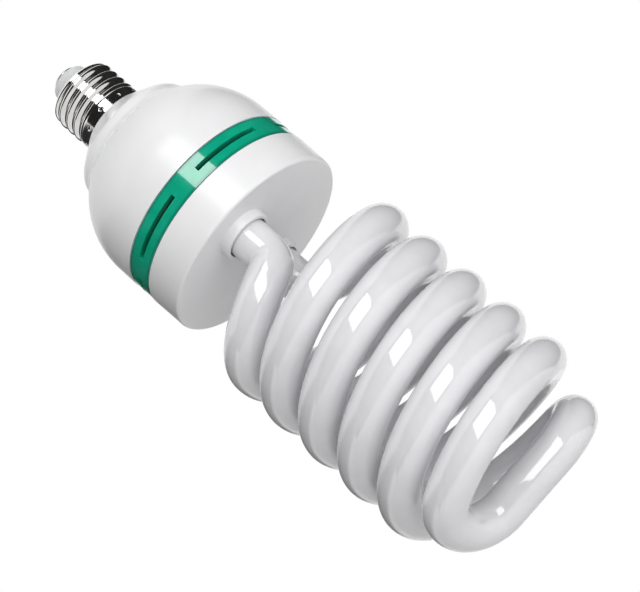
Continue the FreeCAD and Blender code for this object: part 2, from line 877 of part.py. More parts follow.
def filter_core():
    """Ferrite spool of the line filter coil."""
    top = board_top - filter_height
    spool = turned([
        (0, top),
        (filter_radius, top, 0.3),
        (filter_radius, top + filter_flange),
        (filter_post_radius, top + filter_flange),
        (filter_post_radius, board_top - filter_flange),
        (filter_radius, board_top - filter_flange),
        (filter_radius, board_top),
        (0, board_top),
    ])
    return placed(spool, filter_x, filter_y)


def filter_winding():
    """Copper on the filter spool."""
    top = board_top - filter_height + filter_flange + cement_gap
    bottom = board_top - filter_flange - cement_gap
    coil = turned([
        (filter_post_radius + cement_gap, top),
        (filter_radius - 0.4, top, 0.6),
        (filter_radius - 0.4, bottom, 0.6),
        (filter_post_radius + cement_gap, bottom),
    ])
    return placed(coil, filter_x, filter_y)


def axial_part(body_radius_mm, body_length, bulge, x, y, angle):
    """A small round body that lies just over the board, with a wire out of each end bent down to it."""
    half = body_length / 2
    corners = [(0, -half), (body_radius_mm, -half, 0.3), (body_radius_mm, -half + 1.2, 0.2),
               (body_radius_mm - bulge, -half + 1.5), (body_radius_mm - bulge, half - 1.5),
               (body_radius_mm, half - 1.2, 0.2), (body_radius_mm, half, 0.3), (0, half)]
    if bulge == 0:
        corners = [(0, -half), (body_radius_mm, -half, 0.4), (body_radius_mm, half, 0.4), (0, half)]
    body = turned(corners)
    body.rotate(Vector(), Vector(1, 0, 0), 90)
    middle = board_top - body_radius_mm - 0.3
    body.translate(Vector(0, 0, -middle))
    for side in (-1, 1):
        points = [Vector(0, side * (half - 0.5), -middle), Vector(0, side * (half + lead_reach), -middle),
                  Vector(0, side * (half + lead_reach), -board_top)]
        body = body.fuse(wire_run(points, thin_lead_radius, 0.6))
    return placed(body, x, y, angle)


def thermistor():
    """Upright disc with two wires down to the board."""
    half = thermistor_thickness / 2
    disc = turned([(0, -half), (thermistor_radius, -half, 1.0), (thermistor_radius, half, 1.0), (0, half)])
    disc.rotate(Vector(), Vector(0, 1, 0), 90)
    disc.translate(Vector(0, 0, thermistor_radius + 1.5 - board_top))
    for side in (-1, 1):
        wire_y = side * thermistor_radius / 2
        disc = disc.fuse(round_bar(0, wire_y, thin_lead_radius, board_top - thermistor_radius, board_top))
    spot = at(edge_circle, 0, thermistor_angle)
    return placed(disc, spot.x, spot.y, thermistor_angle)


def wrap_pins():
    """Four square pins under the board for the tube's wires."""
    pins = [block(side * pin_x, place, pin_size, pin_size, board_bottom, pin_length)
            for side in (-1, 1) for place in leg_places()]
    return Part.makeCompound(pins)


def electrode_lead(side, place):
    """Wire from a leg's end to a pin."""
    start = Vector(side * electrode_spread, place, -leg_end_depth)
    level = board_bottom + pin_length / 2
    corner = Vector(start.x, place, -level)
    end = Vector(side * (pin_x - pin_size / 2), place, -level)
    return wire_run([start, corner, end], thin_lead_radius, 0.8)


def live_lead():
    """Wire from the contact's solder down the middle to the board."""
    return wire_run([at(0, contact_thickness), at(0, step_depth), at(live_lead_x, step_depth + lead_fall),
                     at(live_lead_x, board_top)], lead_radius, lead_bend)


def neutral_lead():
    """Wire from the inside of the thread down through the neck to the board."""
    root_bore = crest_radius - thread_height() - shell_sheet
    neck_bore = skirt_radius - shell_sheet - neck_spigot_play - neck_spigot_wall
    neck_x = neck_bore - lead_radius - 0.8
    top_x = root_bore - lead_radius - 0.1
    neck_top = skirt_top() + neck_spigot_gap
    return wire_run([at(top_x, neck_top - 8.0), at(top_x, neck_top - 4.5), at(neck_x, neck_top - 1.2),
                     at(neck_x, step_depth), at(neutral_lead_x, step_depth + lead_fall),
                     at(neutral_lead_x, board_top)], lead_radius, 2.0)


def nodes():
    """Every piece with its name."""
    pieces = {
        "screw_shell": screw_shell(),
        "cap_insulator": cap_insulator(),
        "centre_contact": centre_contact(),
        "contact_solder": contact_solder(),
        "upper_housing": upper_housing(),
        "vent_ring": vent_ring(),
        "lower_housing": lower_housing(),
        "spiral_tube": spiral_tube(),
        "leg_cement": leg_cement(),
        "circuit_board": circuit_board(),
        "bulk_capacitor_a": bulk_capacitor(capacitor_y),
        "bulk_capacitor_b": bulk_capacitor(-capacitor_y),
        "choke_core": choke_core(),
        "choke_bobbin": choke_bobbin(),
        "choke_winding": choke_winding(),
        "drive_toroid": drive_toroid(),
        "drive_winding": drive_winding(),
        "heat_sink": heat_sink(),
        "heat_sink_screws": heat_sink_screws(),
        "filter_core": filter_core(),
        "filter_winding": filter_winding(),
        "resonant_capacitor": standing(resonant_x, resonant_y, resonant_width, resonant_depth,
                                       resonant_height, film_round),
        "coupling_capacitor": standing(coupling_x, coupling_y, coupling_width, coupling_depth,
                                       coupling_height, film_round),
        "thermistor": thermistor(),
        "line_fuse": axial_part(fuse_radius, fuse_length, 0.0, fuse_x, 0.0, 0.0),
        "wrap_pins": wrap_pins(),
        "live_lead": live_lead(),
        "neutral_lead": neutral_lead(),
    }
    for letter, x in zip("ab", transistor_places()):
        pieces["transistor_" + letter] = transistor(x)
    for number in range(diode_count):
        x = diode_x + number * diode_pitch
        pieces[f"rectifier_diode_{number + 1}"] = axial_part(diode_radius, diode_length, 0.0, x, diode_y, 0.0)
    for number, shift in enumerate((0.0, resistor_step)):
        spot = at(edge_circle, 0, resistor_angle + shift)
        pieces[f"base_resistor_{number + 1}"] = axial_part(resistor_radius, resistor_length, resistor_waist,
                                                          spot.x, spot.y, resistor_angle + shift)
    ends = [(side, place) for place in leg_places() for side in (-1, 1)]
    for number, (side, place) in enumerate(ends):
        pieces[f"electrode_lead_{number + 1}"] = electrode_lead(side, place)
    return pieces


os.makedirs("parts", exist_ok=True)
for name, shape in nodes().items():
    shape.exportStep(f"parts/{name}.step")
    print(name, len(shape.Solids), shape.isValid(), round(shape.Volume, 2))
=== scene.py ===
import json
import logging
import math
from collections.abc import Callable, Iterable, Sequence
from dataclasses import dataclass, field
from enum import Enum

import bmesh
import bpy
from mathutils import Matrix, Vector

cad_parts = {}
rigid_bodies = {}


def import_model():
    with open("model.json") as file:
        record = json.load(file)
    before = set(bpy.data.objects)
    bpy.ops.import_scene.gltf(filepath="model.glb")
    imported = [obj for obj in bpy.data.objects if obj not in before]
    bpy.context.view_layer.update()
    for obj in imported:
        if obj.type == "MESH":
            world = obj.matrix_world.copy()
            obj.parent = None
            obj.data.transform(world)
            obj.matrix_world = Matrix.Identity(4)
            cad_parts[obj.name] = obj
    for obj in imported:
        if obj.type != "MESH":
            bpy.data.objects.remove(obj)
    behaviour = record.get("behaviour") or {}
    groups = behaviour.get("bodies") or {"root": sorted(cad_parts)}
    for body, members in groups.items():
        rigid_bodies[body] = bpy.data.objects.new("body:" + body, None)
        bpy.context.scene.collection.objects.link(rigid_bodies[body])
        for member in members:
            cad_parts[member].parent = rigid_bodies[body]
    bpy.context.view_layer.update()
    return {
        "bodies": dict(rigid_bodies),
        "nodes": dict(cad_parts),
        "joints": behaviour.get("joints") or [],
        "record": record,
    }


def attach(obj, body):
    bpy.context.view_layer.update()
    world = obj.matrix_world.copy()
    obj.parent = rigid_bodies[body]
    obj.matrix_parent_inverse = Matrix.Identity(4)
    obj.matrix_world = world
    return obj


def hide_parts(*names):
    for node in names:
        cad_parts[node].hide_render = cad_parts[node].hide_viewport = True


log = logging.getLogger("spiral_bulb")

MM = 0.001
ROUND_STEPS = 96
SAME_PLACE = 1e-4
WHITE = (1.0, 1.0, 1.0, 1.0)
SQUARE = ((-1, -1), (1, -1), (1, 1), (-1, 1))

Color = tuple[float, float, float]
Corner = tuple[float, ...]
Outline = list[tuple[float, float]]


class Slot(Enum):
    """Material slots of the record."""

    NICKEL = "nickel"
    INSULATOR = "insulator"
    CONTACT = "contact_metal"
    SOLDER = "solder"
    HOUSING = "housing"
    RING = "ring"
    TUBE = "tube"
    CEMENT = "cement"
    BOARD = "board"
    CAN = "can"
    FERRITE = "ferrite"
    BOBBIN = "bobbin"
    COPPER = "copper"
    SINK = "sink"
    STEEL = "steel"
    PACKAGE = "package"
    FILM = "film"
    DISC = "disc"
    DIODE = "diode"
    RESISTOR = "resistor"
    FUSE = "fuse"
    TINNED_WIRE = "tinned_wire"
    SLEEVE_WIRE = "sleeve_wire"


# Shader graphs


class Value:
    """A number socket that can be used in Python expressions."""

    def __init__(self, graph: "Nodes", socket: bpy.types.NodeSocket) -> None:
        """Wraps an output socket that carries a number, in a tree."""
        self.graph = graph
        self.socket = socket

    def _math(self, operation: str, first: "Value | float", second: "Value | float") -> "Value":
        """Adds a Math node for two values and returns its result."""
        node = self.graph.node("ShaderNodeMath", {"operation": operation}, {0: first, 1: second})
        return Value(self.graph, node.outputs[0])

    def __add__(self, other: "Value | float") -> "Value":
        """Sum."""
        return self._math("ADD", self, other)

    __radd__ = __add__

    def __mul__(self, other: "Value | float") -> "Value":
        """Product."""
        return self._math("MULTIPLY", self, other)

    __rmul__ = __mul__

    def __sub__(self, other: "Value | float") -> "Value":
        """Difference."""
        return self._math("SUBTRACT", self, other)

    def __rsub__(self, other: float) -> "Value":
        """Difference from a plain number."""
        return self._math("SUBTRACT", other, self)

    def __pow__(self, other: float) -> "Value":
        """Power."""
        return self._math("POWER", self, other)

    def absolute(self) -> "Value":
        """Size without its sign."""
        return self._math("ABSOLUTE", self, 0.0)

    def larger(self, other: "Value") -> "Value":
        """The larger of the two."""
        return self._math("MAXIMUM", self, other)

    def turn_from(self, other: "Value") -> "Value":
        """Angle in radians whose sine runs as this value and whose cosine runs as the other."""
        return self._math("ARCTAN2", self, other)

    def fold(self, half: float) -> "Value":
        """Distance from the nearest whole multiple of twice a length."""
        return self._math("PINGPONG", self, half)

    def between(self, low: float, high: float) -> "Value":
        """Smooth step from 0 at low to 1 at high."""
        node = self.graph.node("ShaderNodeMapRange", {"interpolation_type": "SMOOTHSTEP"},
                               {0: self, 1: low, 2: high})
        return Value(self.graph, node.outputs[0])


class Nodes:
    """A node tree built in the script."""

    def __init__(self, tree: bpy.types.NodeTree) -> None:
        """Takes the tree that the nodes go in."""
        self.tree = tree

    def node(self, kind: str, settings: dict[str, object] | None = None,
             inputs: dict[int | str, object] | None = None) -> bpy.types.Node:
        """Adds a node, sets it and feeds its sockets.

        Args:
            kind: The node's type.
            settings: Properties to set first.
            inputs: Numbers, colours, values or output sockets, by socket name or number.

        Returns:
            The node.
        """
        node = self.tree.nodes.new(kind)
        for name, setting in (settings or {}).items():
            setattr(node, name, setting)
        for key, value in (inputs or {}).items():
            source = value.socket if isinstance(value, Value) else value
            if isinstance(source, bpy.types.NodeSocket):
                self.tree.links.new(source, node.inputs[key])
            else:
                node.inputs[key].default_value = source
        return node

    def looked_at(self) -> Value:
        """1 for what the camera, gloss or clear plastic shows, and 0 for light that falls on the lamp."""
        rays = self.node("ShaderNodeLightPath").outputs
        seen = Value(self, rays["Is Camera Ray"])
        for ray in ("Is Glossy Ray", "Is Transmission Ray"):
            seen = seen.larger(Value(self, rays[ray]))
        return seen


class Graph(Nodes):
    """Node graph of one material."""

    def __init__(self, name: str) -> None:
        """Makes a material with an output and nothing else.

        Args:
            name: The material's name.
        """
        self.material = bpy.data.materials.new(name)
        self.material.use_nodes = True
        super().__init__(self.material.node_tree)
        self.tree.nodes.clear()
        self.output = self.node("ShaderNodeOutputMaterial").inputs["Surface"]

    def place(self) -> bpy.types.NodeSocket:
        """Object coordinates, which are the frame's metres."""
        return self.node("ShaderNodeTexCoord").outputs["Object"]

    def axis(self, name: str) -> Value:
        """Object coordinate X, Y or Z in millimetres."""
        split = self.node("ShaderNodeSeparateXYZ", {}, {0: self.place()})
        return Value(self, split.outputs[name]) * (1 / MM)

    def noise(self, size: float, detail: float, stretch: tuple[float, float, float] = (1, 1, 1)) -> Value:
        """Noise with grains of a size in millimetres.

        Args:
            size: Size of the largest grains.
            detail: Number of finer layers.
            stretch: Scale of the pattern along the three axes.

        Returns:
            Noise from 0 to 1.
        """
        place = self.node("ShaderNodeMapping", {}, {"Vector": self.place(), "Scale": stretch})
        noise = self.node("ShaderNodeTexNoise", {}, {"Vector": place.outputs[0], "Scale": 1 / (size * MM),
                                                     "Detail": detail})
        return Value(self, noise.outputs[0])

    def blend(self, factor: Value, first: object, second: object) -> bpy.types.NodeSocket:
        """Mixes two colours or colour sockets: the first where the factor is 0, the second where it is 1."""
        node = self.node("ShaderNodeMix", {"data_type": "RGBA", "clamp_factor": True},
                         {0: factor, 6: self._color(first), 7: self._color(second)})
        return node.outputs[2]

    @staticmethod
    def _color(color: object) -> object:
        """A colour with its alpha, or a socket as it is."""
        if isinstance(color, bpy.types.NodeSocket):
            return color
        return (*color[:3], 1.0)

    def bump(self, height: Value, distance: float) -> bpy.types.NodeSocket:
        """Turns a height from 0 to 1 into a normal; the distance is a height of 1, in millimetres."""
        inputs = {"Height": height, "Distance": distance * MM, "Strength": 1.0}
        return self.node("ShaderNodeBump", {}, inputs).outputs[0]

    def principled(self, inputs: dict[str, object]) -> bpy.types.NodeSocket:
        """Adds the surface shader and joins it to the output.

        Args:
            inputs: Values or outputs by socket name.

        Returns:
            The shader's socket.
        """
        shader = self.node("ShaderNodeBsdfPrincipled", {}, inputs).outputs[0]
        self.tree.links.new(shader, self.output)
        return shader


@dataclass(frozen=True)
class Finish:
    """A finish whose colour, between base and second, and gloss vary a little, with a fine bump.

    Sizes are in millimetres.
    """

    name: str
    slot: Slot
    base: Color
    second: Color
    roughness: float
    roughness_swing: float = 0.05
    metallic: float = 0.0
    coat: float = 0.0
    coat_roughness: float = 0.05
    coat_bend: float = 1.5
    bend: float = 1.5
    gloss: float = 0.5
    glow: float = 0.0
    glow_color: Color = (1.0, 1.0, 1.0)
    glow_depth: float = 1.0
    mottle_size: float = 6.0
    mottle_detail: float = 4.0
    mottle_range: tuple[float, float] = (0.3, 0.7)
    grain_size: float = 0.6
    grain_detail: float = 2.0
    grain_height: float = 0.01
    stretch: tuple[float, float, float] = (1, 1, 1)

    def color(self, graph: Graph, mottle: Value) -> bpy.types.NodeSocket:
        """The finish's colour, between base and second by the mottle."""
        return graph.blend(mottle.between(*self.mottle_range), self.base, self.second)

    def build(self) -> bpy.types.Material:
        """Makes the material."""
        graph = Graph(self.name)
        mottle = graph.noise(self.mottle_size, self.mottle_detail, self.stretch)
        grain = graph.noise(self.grain_size, self.grain_detail, self.stretch)
        graph.principled({
            "Base Color": self.color(graph, mottle),
            "Roughness": self.roughness + (mottle - 0.5) * (2 * self.roughness_swing),
            "Metallic": self.metallic,
            "IOR": self.bend,
            "Specular IOR Level": self.gloss,
            "Subsurface Weight": self.glow,
            "Subsurface Radius": self.glow_color,
            "Subsurface Scale": self.glow_depth * MM,
            "Coat Weight": self.coat,
            "Coat Roughness": self.coat_roughness,
            "Coat IOR": self.coat_bend,
            "Normal": graph.bump(grain, self.grain_height),
        })
        return graph.material


@dataclass(frozen=True)
class NickelFinish(Finish):
    """Bright plating with faint rolling lines round the shell, and punched dots round its skirt painted near
    black as the shade inside them.
    """

    line_pitch: float = 0.18
    line_detail: float = 1.0
    line_stretch: tuple[float, float, float] = (0.02, 0.02, 1.0)
    scuff_size: float = 1.3
    scuff_detail: float = 5.0
    scuff_stretch: tuple[float, float, float] = (1.0, 1.0, 3.0)
    scuff_range: tuple[float, float] = (0.6, 0.75)
    scuff_roughness: float = 0.08
    dot_count: int = 10
    dot_ring_radius: float = 13.1
    dot_ring_depth: float = 25.62
    dot_radius: float = 0.6
    dot_edge: float = 0.7
    # near black, painted as the shade inside each punched dot
    dot_shade_color: Color = (0.03, 0.03, 0.03)

    def dots(self, graph: Graph) -> Value:
        """Mask of the dots, where shade is painted: 1 in a dot and 0 elsewhere.

        Args:
            graph: The material's graph.

        Returns:
            The mask.
        """
        around = (graph.axis("Y").turn_from(graph.axis("X")) + math.pi / 2).fold(math.pi / self.dot_count)
        along = graph.axis("Z") + self.dot_ring_depth
        away = around * self.dot_ring_radius
        distance = (away * away + along * along) ** 0.5
        return 1 - distance.between(self.dot_edge * self.dot_radius, self.dot_radius)

    def build(self) -> bpy.types.Material:
        """Makes the material."""
        graph = Graph(self.name)
        mottle = graph.noise(self.mottle_size, self.mottle_detail)
        lines = graph.noise(self.line_pitch, self.line_detail, self.line_stretch)
        scuffs = graph.noise(self.scuff_size, self.scuff_detail, self.scuff_stretch)
        dulled = scuffs.between(*self.scuff_range) * self.scuff_roughness
        graph.principled({
            # The dots are painted near black as the shade inside the punched holes.
            "Base Color": graph.blend(self.dots(graph), self.color(graph, mottle), self.dot_shade_color),
            "Roughness": self.roughness + lines * self.roughness_swing + dulled,
            "Metallic": self.metallic,
            "Normal": graph.bump(lines, self.grain_height),
        })
        return graph.material


@dataclass(frozen=True)
class RingFinish(Finish):
    """Clear tinted plastic, deeper at the two edges: partly the real tint where the tongues sit behind it,
    partly painted shade where the ring meets the housing.
    """

    middle_depth: float = 78.3
    half_height: float = 4.65
    edge_start: float = 1.4
    edge_full: float = 0.14
    edge_share: float = 0.75
    edge_tint_and_shade: Color = (0.0, 0.16, 0.11)

    def color(self, graph: Graph, mottle: Value) -> bpy.types.NodeSocket:
        """The finish's colour, with its deeper edges, which are partly painted shade."""
        # Near each edge the colour turns deeper: tongue tint plus painted shade along the seams.
        away = (graph.axis("Z") + self.middle_depth).absolute()
        edge = away.between(self.half_height - self.edge_start, self.half_height - self.edge_full)
        return graph.blend(edge * self.edge_share, super().color(graph, mottle), self.edge_tint_and_shade)


@dataclass(frozen=True)
class GlassFinish(Finish):
    """Glossy glass with a white coat inside it, a little thinner in places."""

    speck_size: float = 0.9
    speck_detail: float = 3.0
    speck_range: tuple[float, float] = (0.68, 0.8)
    speck_share: float = 0.25
    speck_color: Color = (0.78, 0.78, 0.79)

    def color(self, graph: Graph, mottle: Value) -> bpy.types.NodeSocket:
        """The coat's colour, with its thinner specks."""
        speck = graph.noise(self.speck_size, self.speck_detail).between(*self.speck_range)
        return graph.blend(speck * self.speck_share, super().color(graph, mottle), self.speck_color)


# Meshes


def rounded(corners: Sequence[Corner], closed: bool = True, arc_step: float = 12.0) -> Outline:
    """Turns corners into points, with arcs at the rounded corners and a support point next to each arc.

    Args:
        corners: (radius, depth) or (radius, depth, round) in millimetres.
        closed: Whether the last corner joins the first.
        arc_step: Degrees from one point of an arc to the next.

    Returns:
        The outline's points.
    """
    count = len(corners)
    max_support, support_share = 0.25, 0.3
    points: list[Vector] = []
    for index, corner in enumerate(corners):
        here = Vector(corner[:2])
        size = corner[2] if len(corner) > 2 else 0.0
        if size == 0 or (not closed and index in (0, count - 1)):
            points.append(here)
            continue
        back = (Vector(corners[index - 1][:2]) - here).normalized()
        ahead = (Vector(corners[(index + 1) % count][:2]) - here).normalized()
        half = back.angle(ahead) / 2
        centre = here + (back + ahead).normalized() * (size / math.sin(half))
        start = here + back * (size / math.tan(half)) - centre
        turn = math.pi - 2 * half
        way = 1.0 if start.cross(here - centre) > 0 else -1.0
        steps = max(2, math.ceil(math.degrees(turn) / arc_step))
        support = min(max_support, support_share * size)
        points.append(centre + start + back * support)
        for step in range(steps + 1):
            spin = Matrix.Rotation(way * turn * step / steps, 2)
            points.append(centre + spin @ start)
        points.append(centre + Matrix.Rotation(way * turn, 2) @ start + ahead * support)
    kept: list[Vector] = []
    for point in points:
        if not kept or (point - kept[-1]).length > SAME_PLACE:
            kept.append(point)
    if closed and (kept[0] - kept[-1]).length < SAME_PLACE:
        kept.pop()
    return [(point.x, point.y) for point in kept]


def inset(corners: Sequence[Corner], distance: float) -> list[Corner]:
    """Moves an open chain of corners sideways to its left and adjusts the rounds.

    Args:
        corners: (radius, depth) or (radius, depth, round) in millimetres.
        distance: How far to move.

    Returns:
        The moved corners.
    """
    last = len(corners) - 1
    sides = [(Vector(after[:2]) - Vector(before[:2])).normalized()
             for before, after in zip(corners, corners[1:])]
    moved: list[Corner] = []
    for index, corner in enumerate(corners):
        before, after = sides[max(index - 1, 0)], sides[min(index, last - 1)]
        normal = Vector((-before.y - after.y, before.x + after.x))
        place = Vector(corner[:2]) + normal * (distance / (1 + before.dot(after)))
        size = corner[2] if len(corner) > 2 else 0.0
        if size:
            size += -distance if before.cross(after) > 0 else distance
        moved.append((place.x, place.y, max(size, 0.0)))
    return moved


def finish_mesh(piece: bpy.types.Object, sharp: float = 35.0) -> bpy.types.Object:
    """Merges doubles, turns faces outwards and shades the mesh smooth up to an angle.

    Args:
        piece: The object.
        sharp: Edges sharper than this many degrees stay sharp.

    Returns:
        The same object.
    """
    shape = bmesh.new()
    shape.from_mesh(piece.data)
    bmesh.ops.remove_doubles(shape, verts=shape.verts, dist=1e-7)
    bmesh.ops.recalc_face_normals(shape, faces=shape.faces)
    shape.to_mesh(piece.data)
    shape.free()
    piece.data.polygons.foreach_set("use_smooth", [True] * len(piece.data.polygons))
    piece.data.set_sharp_from_angle(angle=math.radians(sharp))
    return piece


def link(name: str, mesh: bpy.types.Mesh) -> bpy.types.Object:
    """Puts a mesh in the scene as an object.

    Args:
        name: The object's name.
        mesh: Its mesh.

    Returns:
        The object.
    """
    piece = bpy.data.objects.new(name, mesh)
    bpy.context.scene.collection.objects.link(piece)
    return piece


def bake(piece: bpy.types.Object) -> None:
    """Turns what an object's modifiers make into its plain mesh."""
    mesh = bpy.data.meshes.new_from_object(piece.evaluated_get(bpy.context.evaluated_depsgraph_get()))
    piece.modifiers.clear()
    piece.data = mesh


def column(shape: bmesh.types.BMesh, outline: Outline, angle: float) -> list[bmesh.types.BMVert]:
    """Stands an outline up in a shape at an angle in degrees round the axis."""
    turn = math.radians(angle)
    return [shape.verts.new((radius * math.cos(turn) * MM, radius * math.sin(turn) * MM, -depth * MM))
            for radius, depth in outline]


def as_piece(shape: bmesh.types.BMesh, name: str) -> bpy.types.Object:
    """Turns a shape into a finished piece.

    Args:
        shape: The shape, which is freed.
        name: The piece's name.

    Returns:
        The finished piece.
    """
    mesh = bpy.data.meshes.new(name)
    shape.to_mesh(mesh)
    shape.free()
    return finish_mesh(link(name, mesh))


def turned(name: str, outline_at: Callable[[float], Outline], angles: Sequence[float],
           closed: bool = True) -> bpy.types.Object:
    """Makes a turned piece whose outline may change round the axis.

    Args:
        name: The piece's name.
        outline_at: Gives the outline, in millimetres, at an angle in degrees. Each has as many points.
        angles: Angles of the columns, all the way round.
        closed: Whether the outline is a closed loop; if not, it starts and ends on the axis.

    Returns:
        The finished piece.
    """
    shape = bmesh.new()
    columns = [column(shape, outline_at(angle), angle) for angle in angles]
    rows = len(columns[0])
    for here, ahead in zip(columns, columns[1:] + columns[:1]):
        for row in range(rows if closed else rows - 1):
            below = (row + 1) % rows
            shape.faces.new((here[row], ahead[row], ahead[below], here[below]))
    bmesh.ops.remove_doubles(shape, verts=shape.verts, dist=1e-8)
    return as_piece(shape, name)


def steps_round(count: int, start: float = 0.0) -> list[float]:
    """Angles in degrees of equal steps all the way round, from a first one."""
    return [start + 360.0 * step / count for step in range(count)]


def fitted_steps(marks: Iterable[float], step: float) -> list[float]:
    """Angles round the axis that hit each mark and fill the gaps evenly.

    Args:
        marks: Angles that a column has to stand on.
        step: Largest gap between columns, in degrees.

    Returns:
        Sorted angles in degrees.
    """
    fixed = sorted({round(mark % 360.0, 4) for mark in marks})
    angles: list[float] = []
    for here, ahead in zip(fixed, fixed[1:] + [fixed[0] + 360.0]):
        parts = max(1, math.ceil((ahead - here) / step))
        angles += [here + (ahead - here) * part / parts for part in range(parts)]
    return angles


def smooth(value: float, low: float, high: float) -> float:
    """Smooth step from 0 at low to 1 at high."""
    share = min(1.0, max(0.0, (value - low) / (high - low)))
    return share * share * (3 - 2 * share)


def away_from(angle: float, target: float) -> float:
    """Degrees between two angles, from 0 to 180."""
    return abs((angle - target + 180.0) % 360.0 - 180.0)


class Tree(Nodes):
    """Geometry node tree that makes a piece."""

    def __init__(self, name: str, inputs: dict[str, tuple[str, object]]) -> None:
        """Makes a tree with a geometry input, named size inputs and a geometry output.

        Args:
            name: The tree's name.
            inputs: Socket type and default value by input name.
        """
        super().__init__(bpy.data.node_groups.new(name, "GeometryNodeTree"))
        sockets = self.tree.interface
        sockets.new_socket("Geometry", in_out="INPUT", socket_type="NodeSocketGeometry")
        self.identifiers: dict[str, str] = {}
        for label, (kind, value) in inputs.items():
            socket = sockets.new_socket(label, in_out="INPUT", socket_type=kind)
            socket.default_value = value
            self.identifiers[label] = socket.identifier
        sockets.new_socket("Geometry", in_out="OUTPUT", socket_type="NodeSocketGeometry")
        self.given = self.node("NodeGroupInput").outputs
        self.sink = self.node("NodeGroupOutput").inputs[0]

    def end(self, geometry: bpy.types.NodeSocket, material: bpy.types.Material) -> None:
        """Ends the tree with Realize Instances and Set Material.

        Args:
            geometry: What the tree has made.
            material: The material of the piece.
        """
        real = self.node("GeometryNodeRealizeInstances", {}, {0: geometry}).outputs[0]
        dressed = self.node("GeometryNodeSetMaterial", {}, {"Geometry": real, "Material": material})
        self.tree.links.new(dressed.outputs[0], self.sink)

    def run(self, piece: bpy.types.Object, values: dict[str, object]) -> bpy.types.Object:
        """Runs the tree on an object and leaves a plain mesh.

        Args:
            piece: The object that carries the tree's input geometry.
            values: Sizes by input name.

        Returns:
            The same object with the finished mesh and no modifier.
        """
        modifier = piece.modifiers.new("build", "NODES")
        modifier.node_group = self.tree
        for label, value in values.items():
            modifier[self.identifiers[label]] = value
        bpy.context.view_layer.update()
        bake(piece)
        piece.data.name = piece.name
        return piece


# Sub-assemblies


@dataclass
class Assembly:
    """A part of the lamp that dresses its pieces and puts them in place of CAD nodes."""

    finishes: "Finishes"

    def join(self, piece: bpy.types.Object, slot: Slot, *nodes: str) -> None:
        """Gives a finished piece its material and joins it to the lamp in place of CAD nodes.

        Args:
            piece: The finished piece.
            slot: The record's material slot.
            nodes: CAD nodes that the piece stands for.
        """
        self.finishes.wear(piece, slot)
        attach(piece, "root")
        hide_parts(*nodes)
        log.info("%s: %d faces, stands for %s", piece.name, len(piece.data.polygons), ", ".join(nodes))


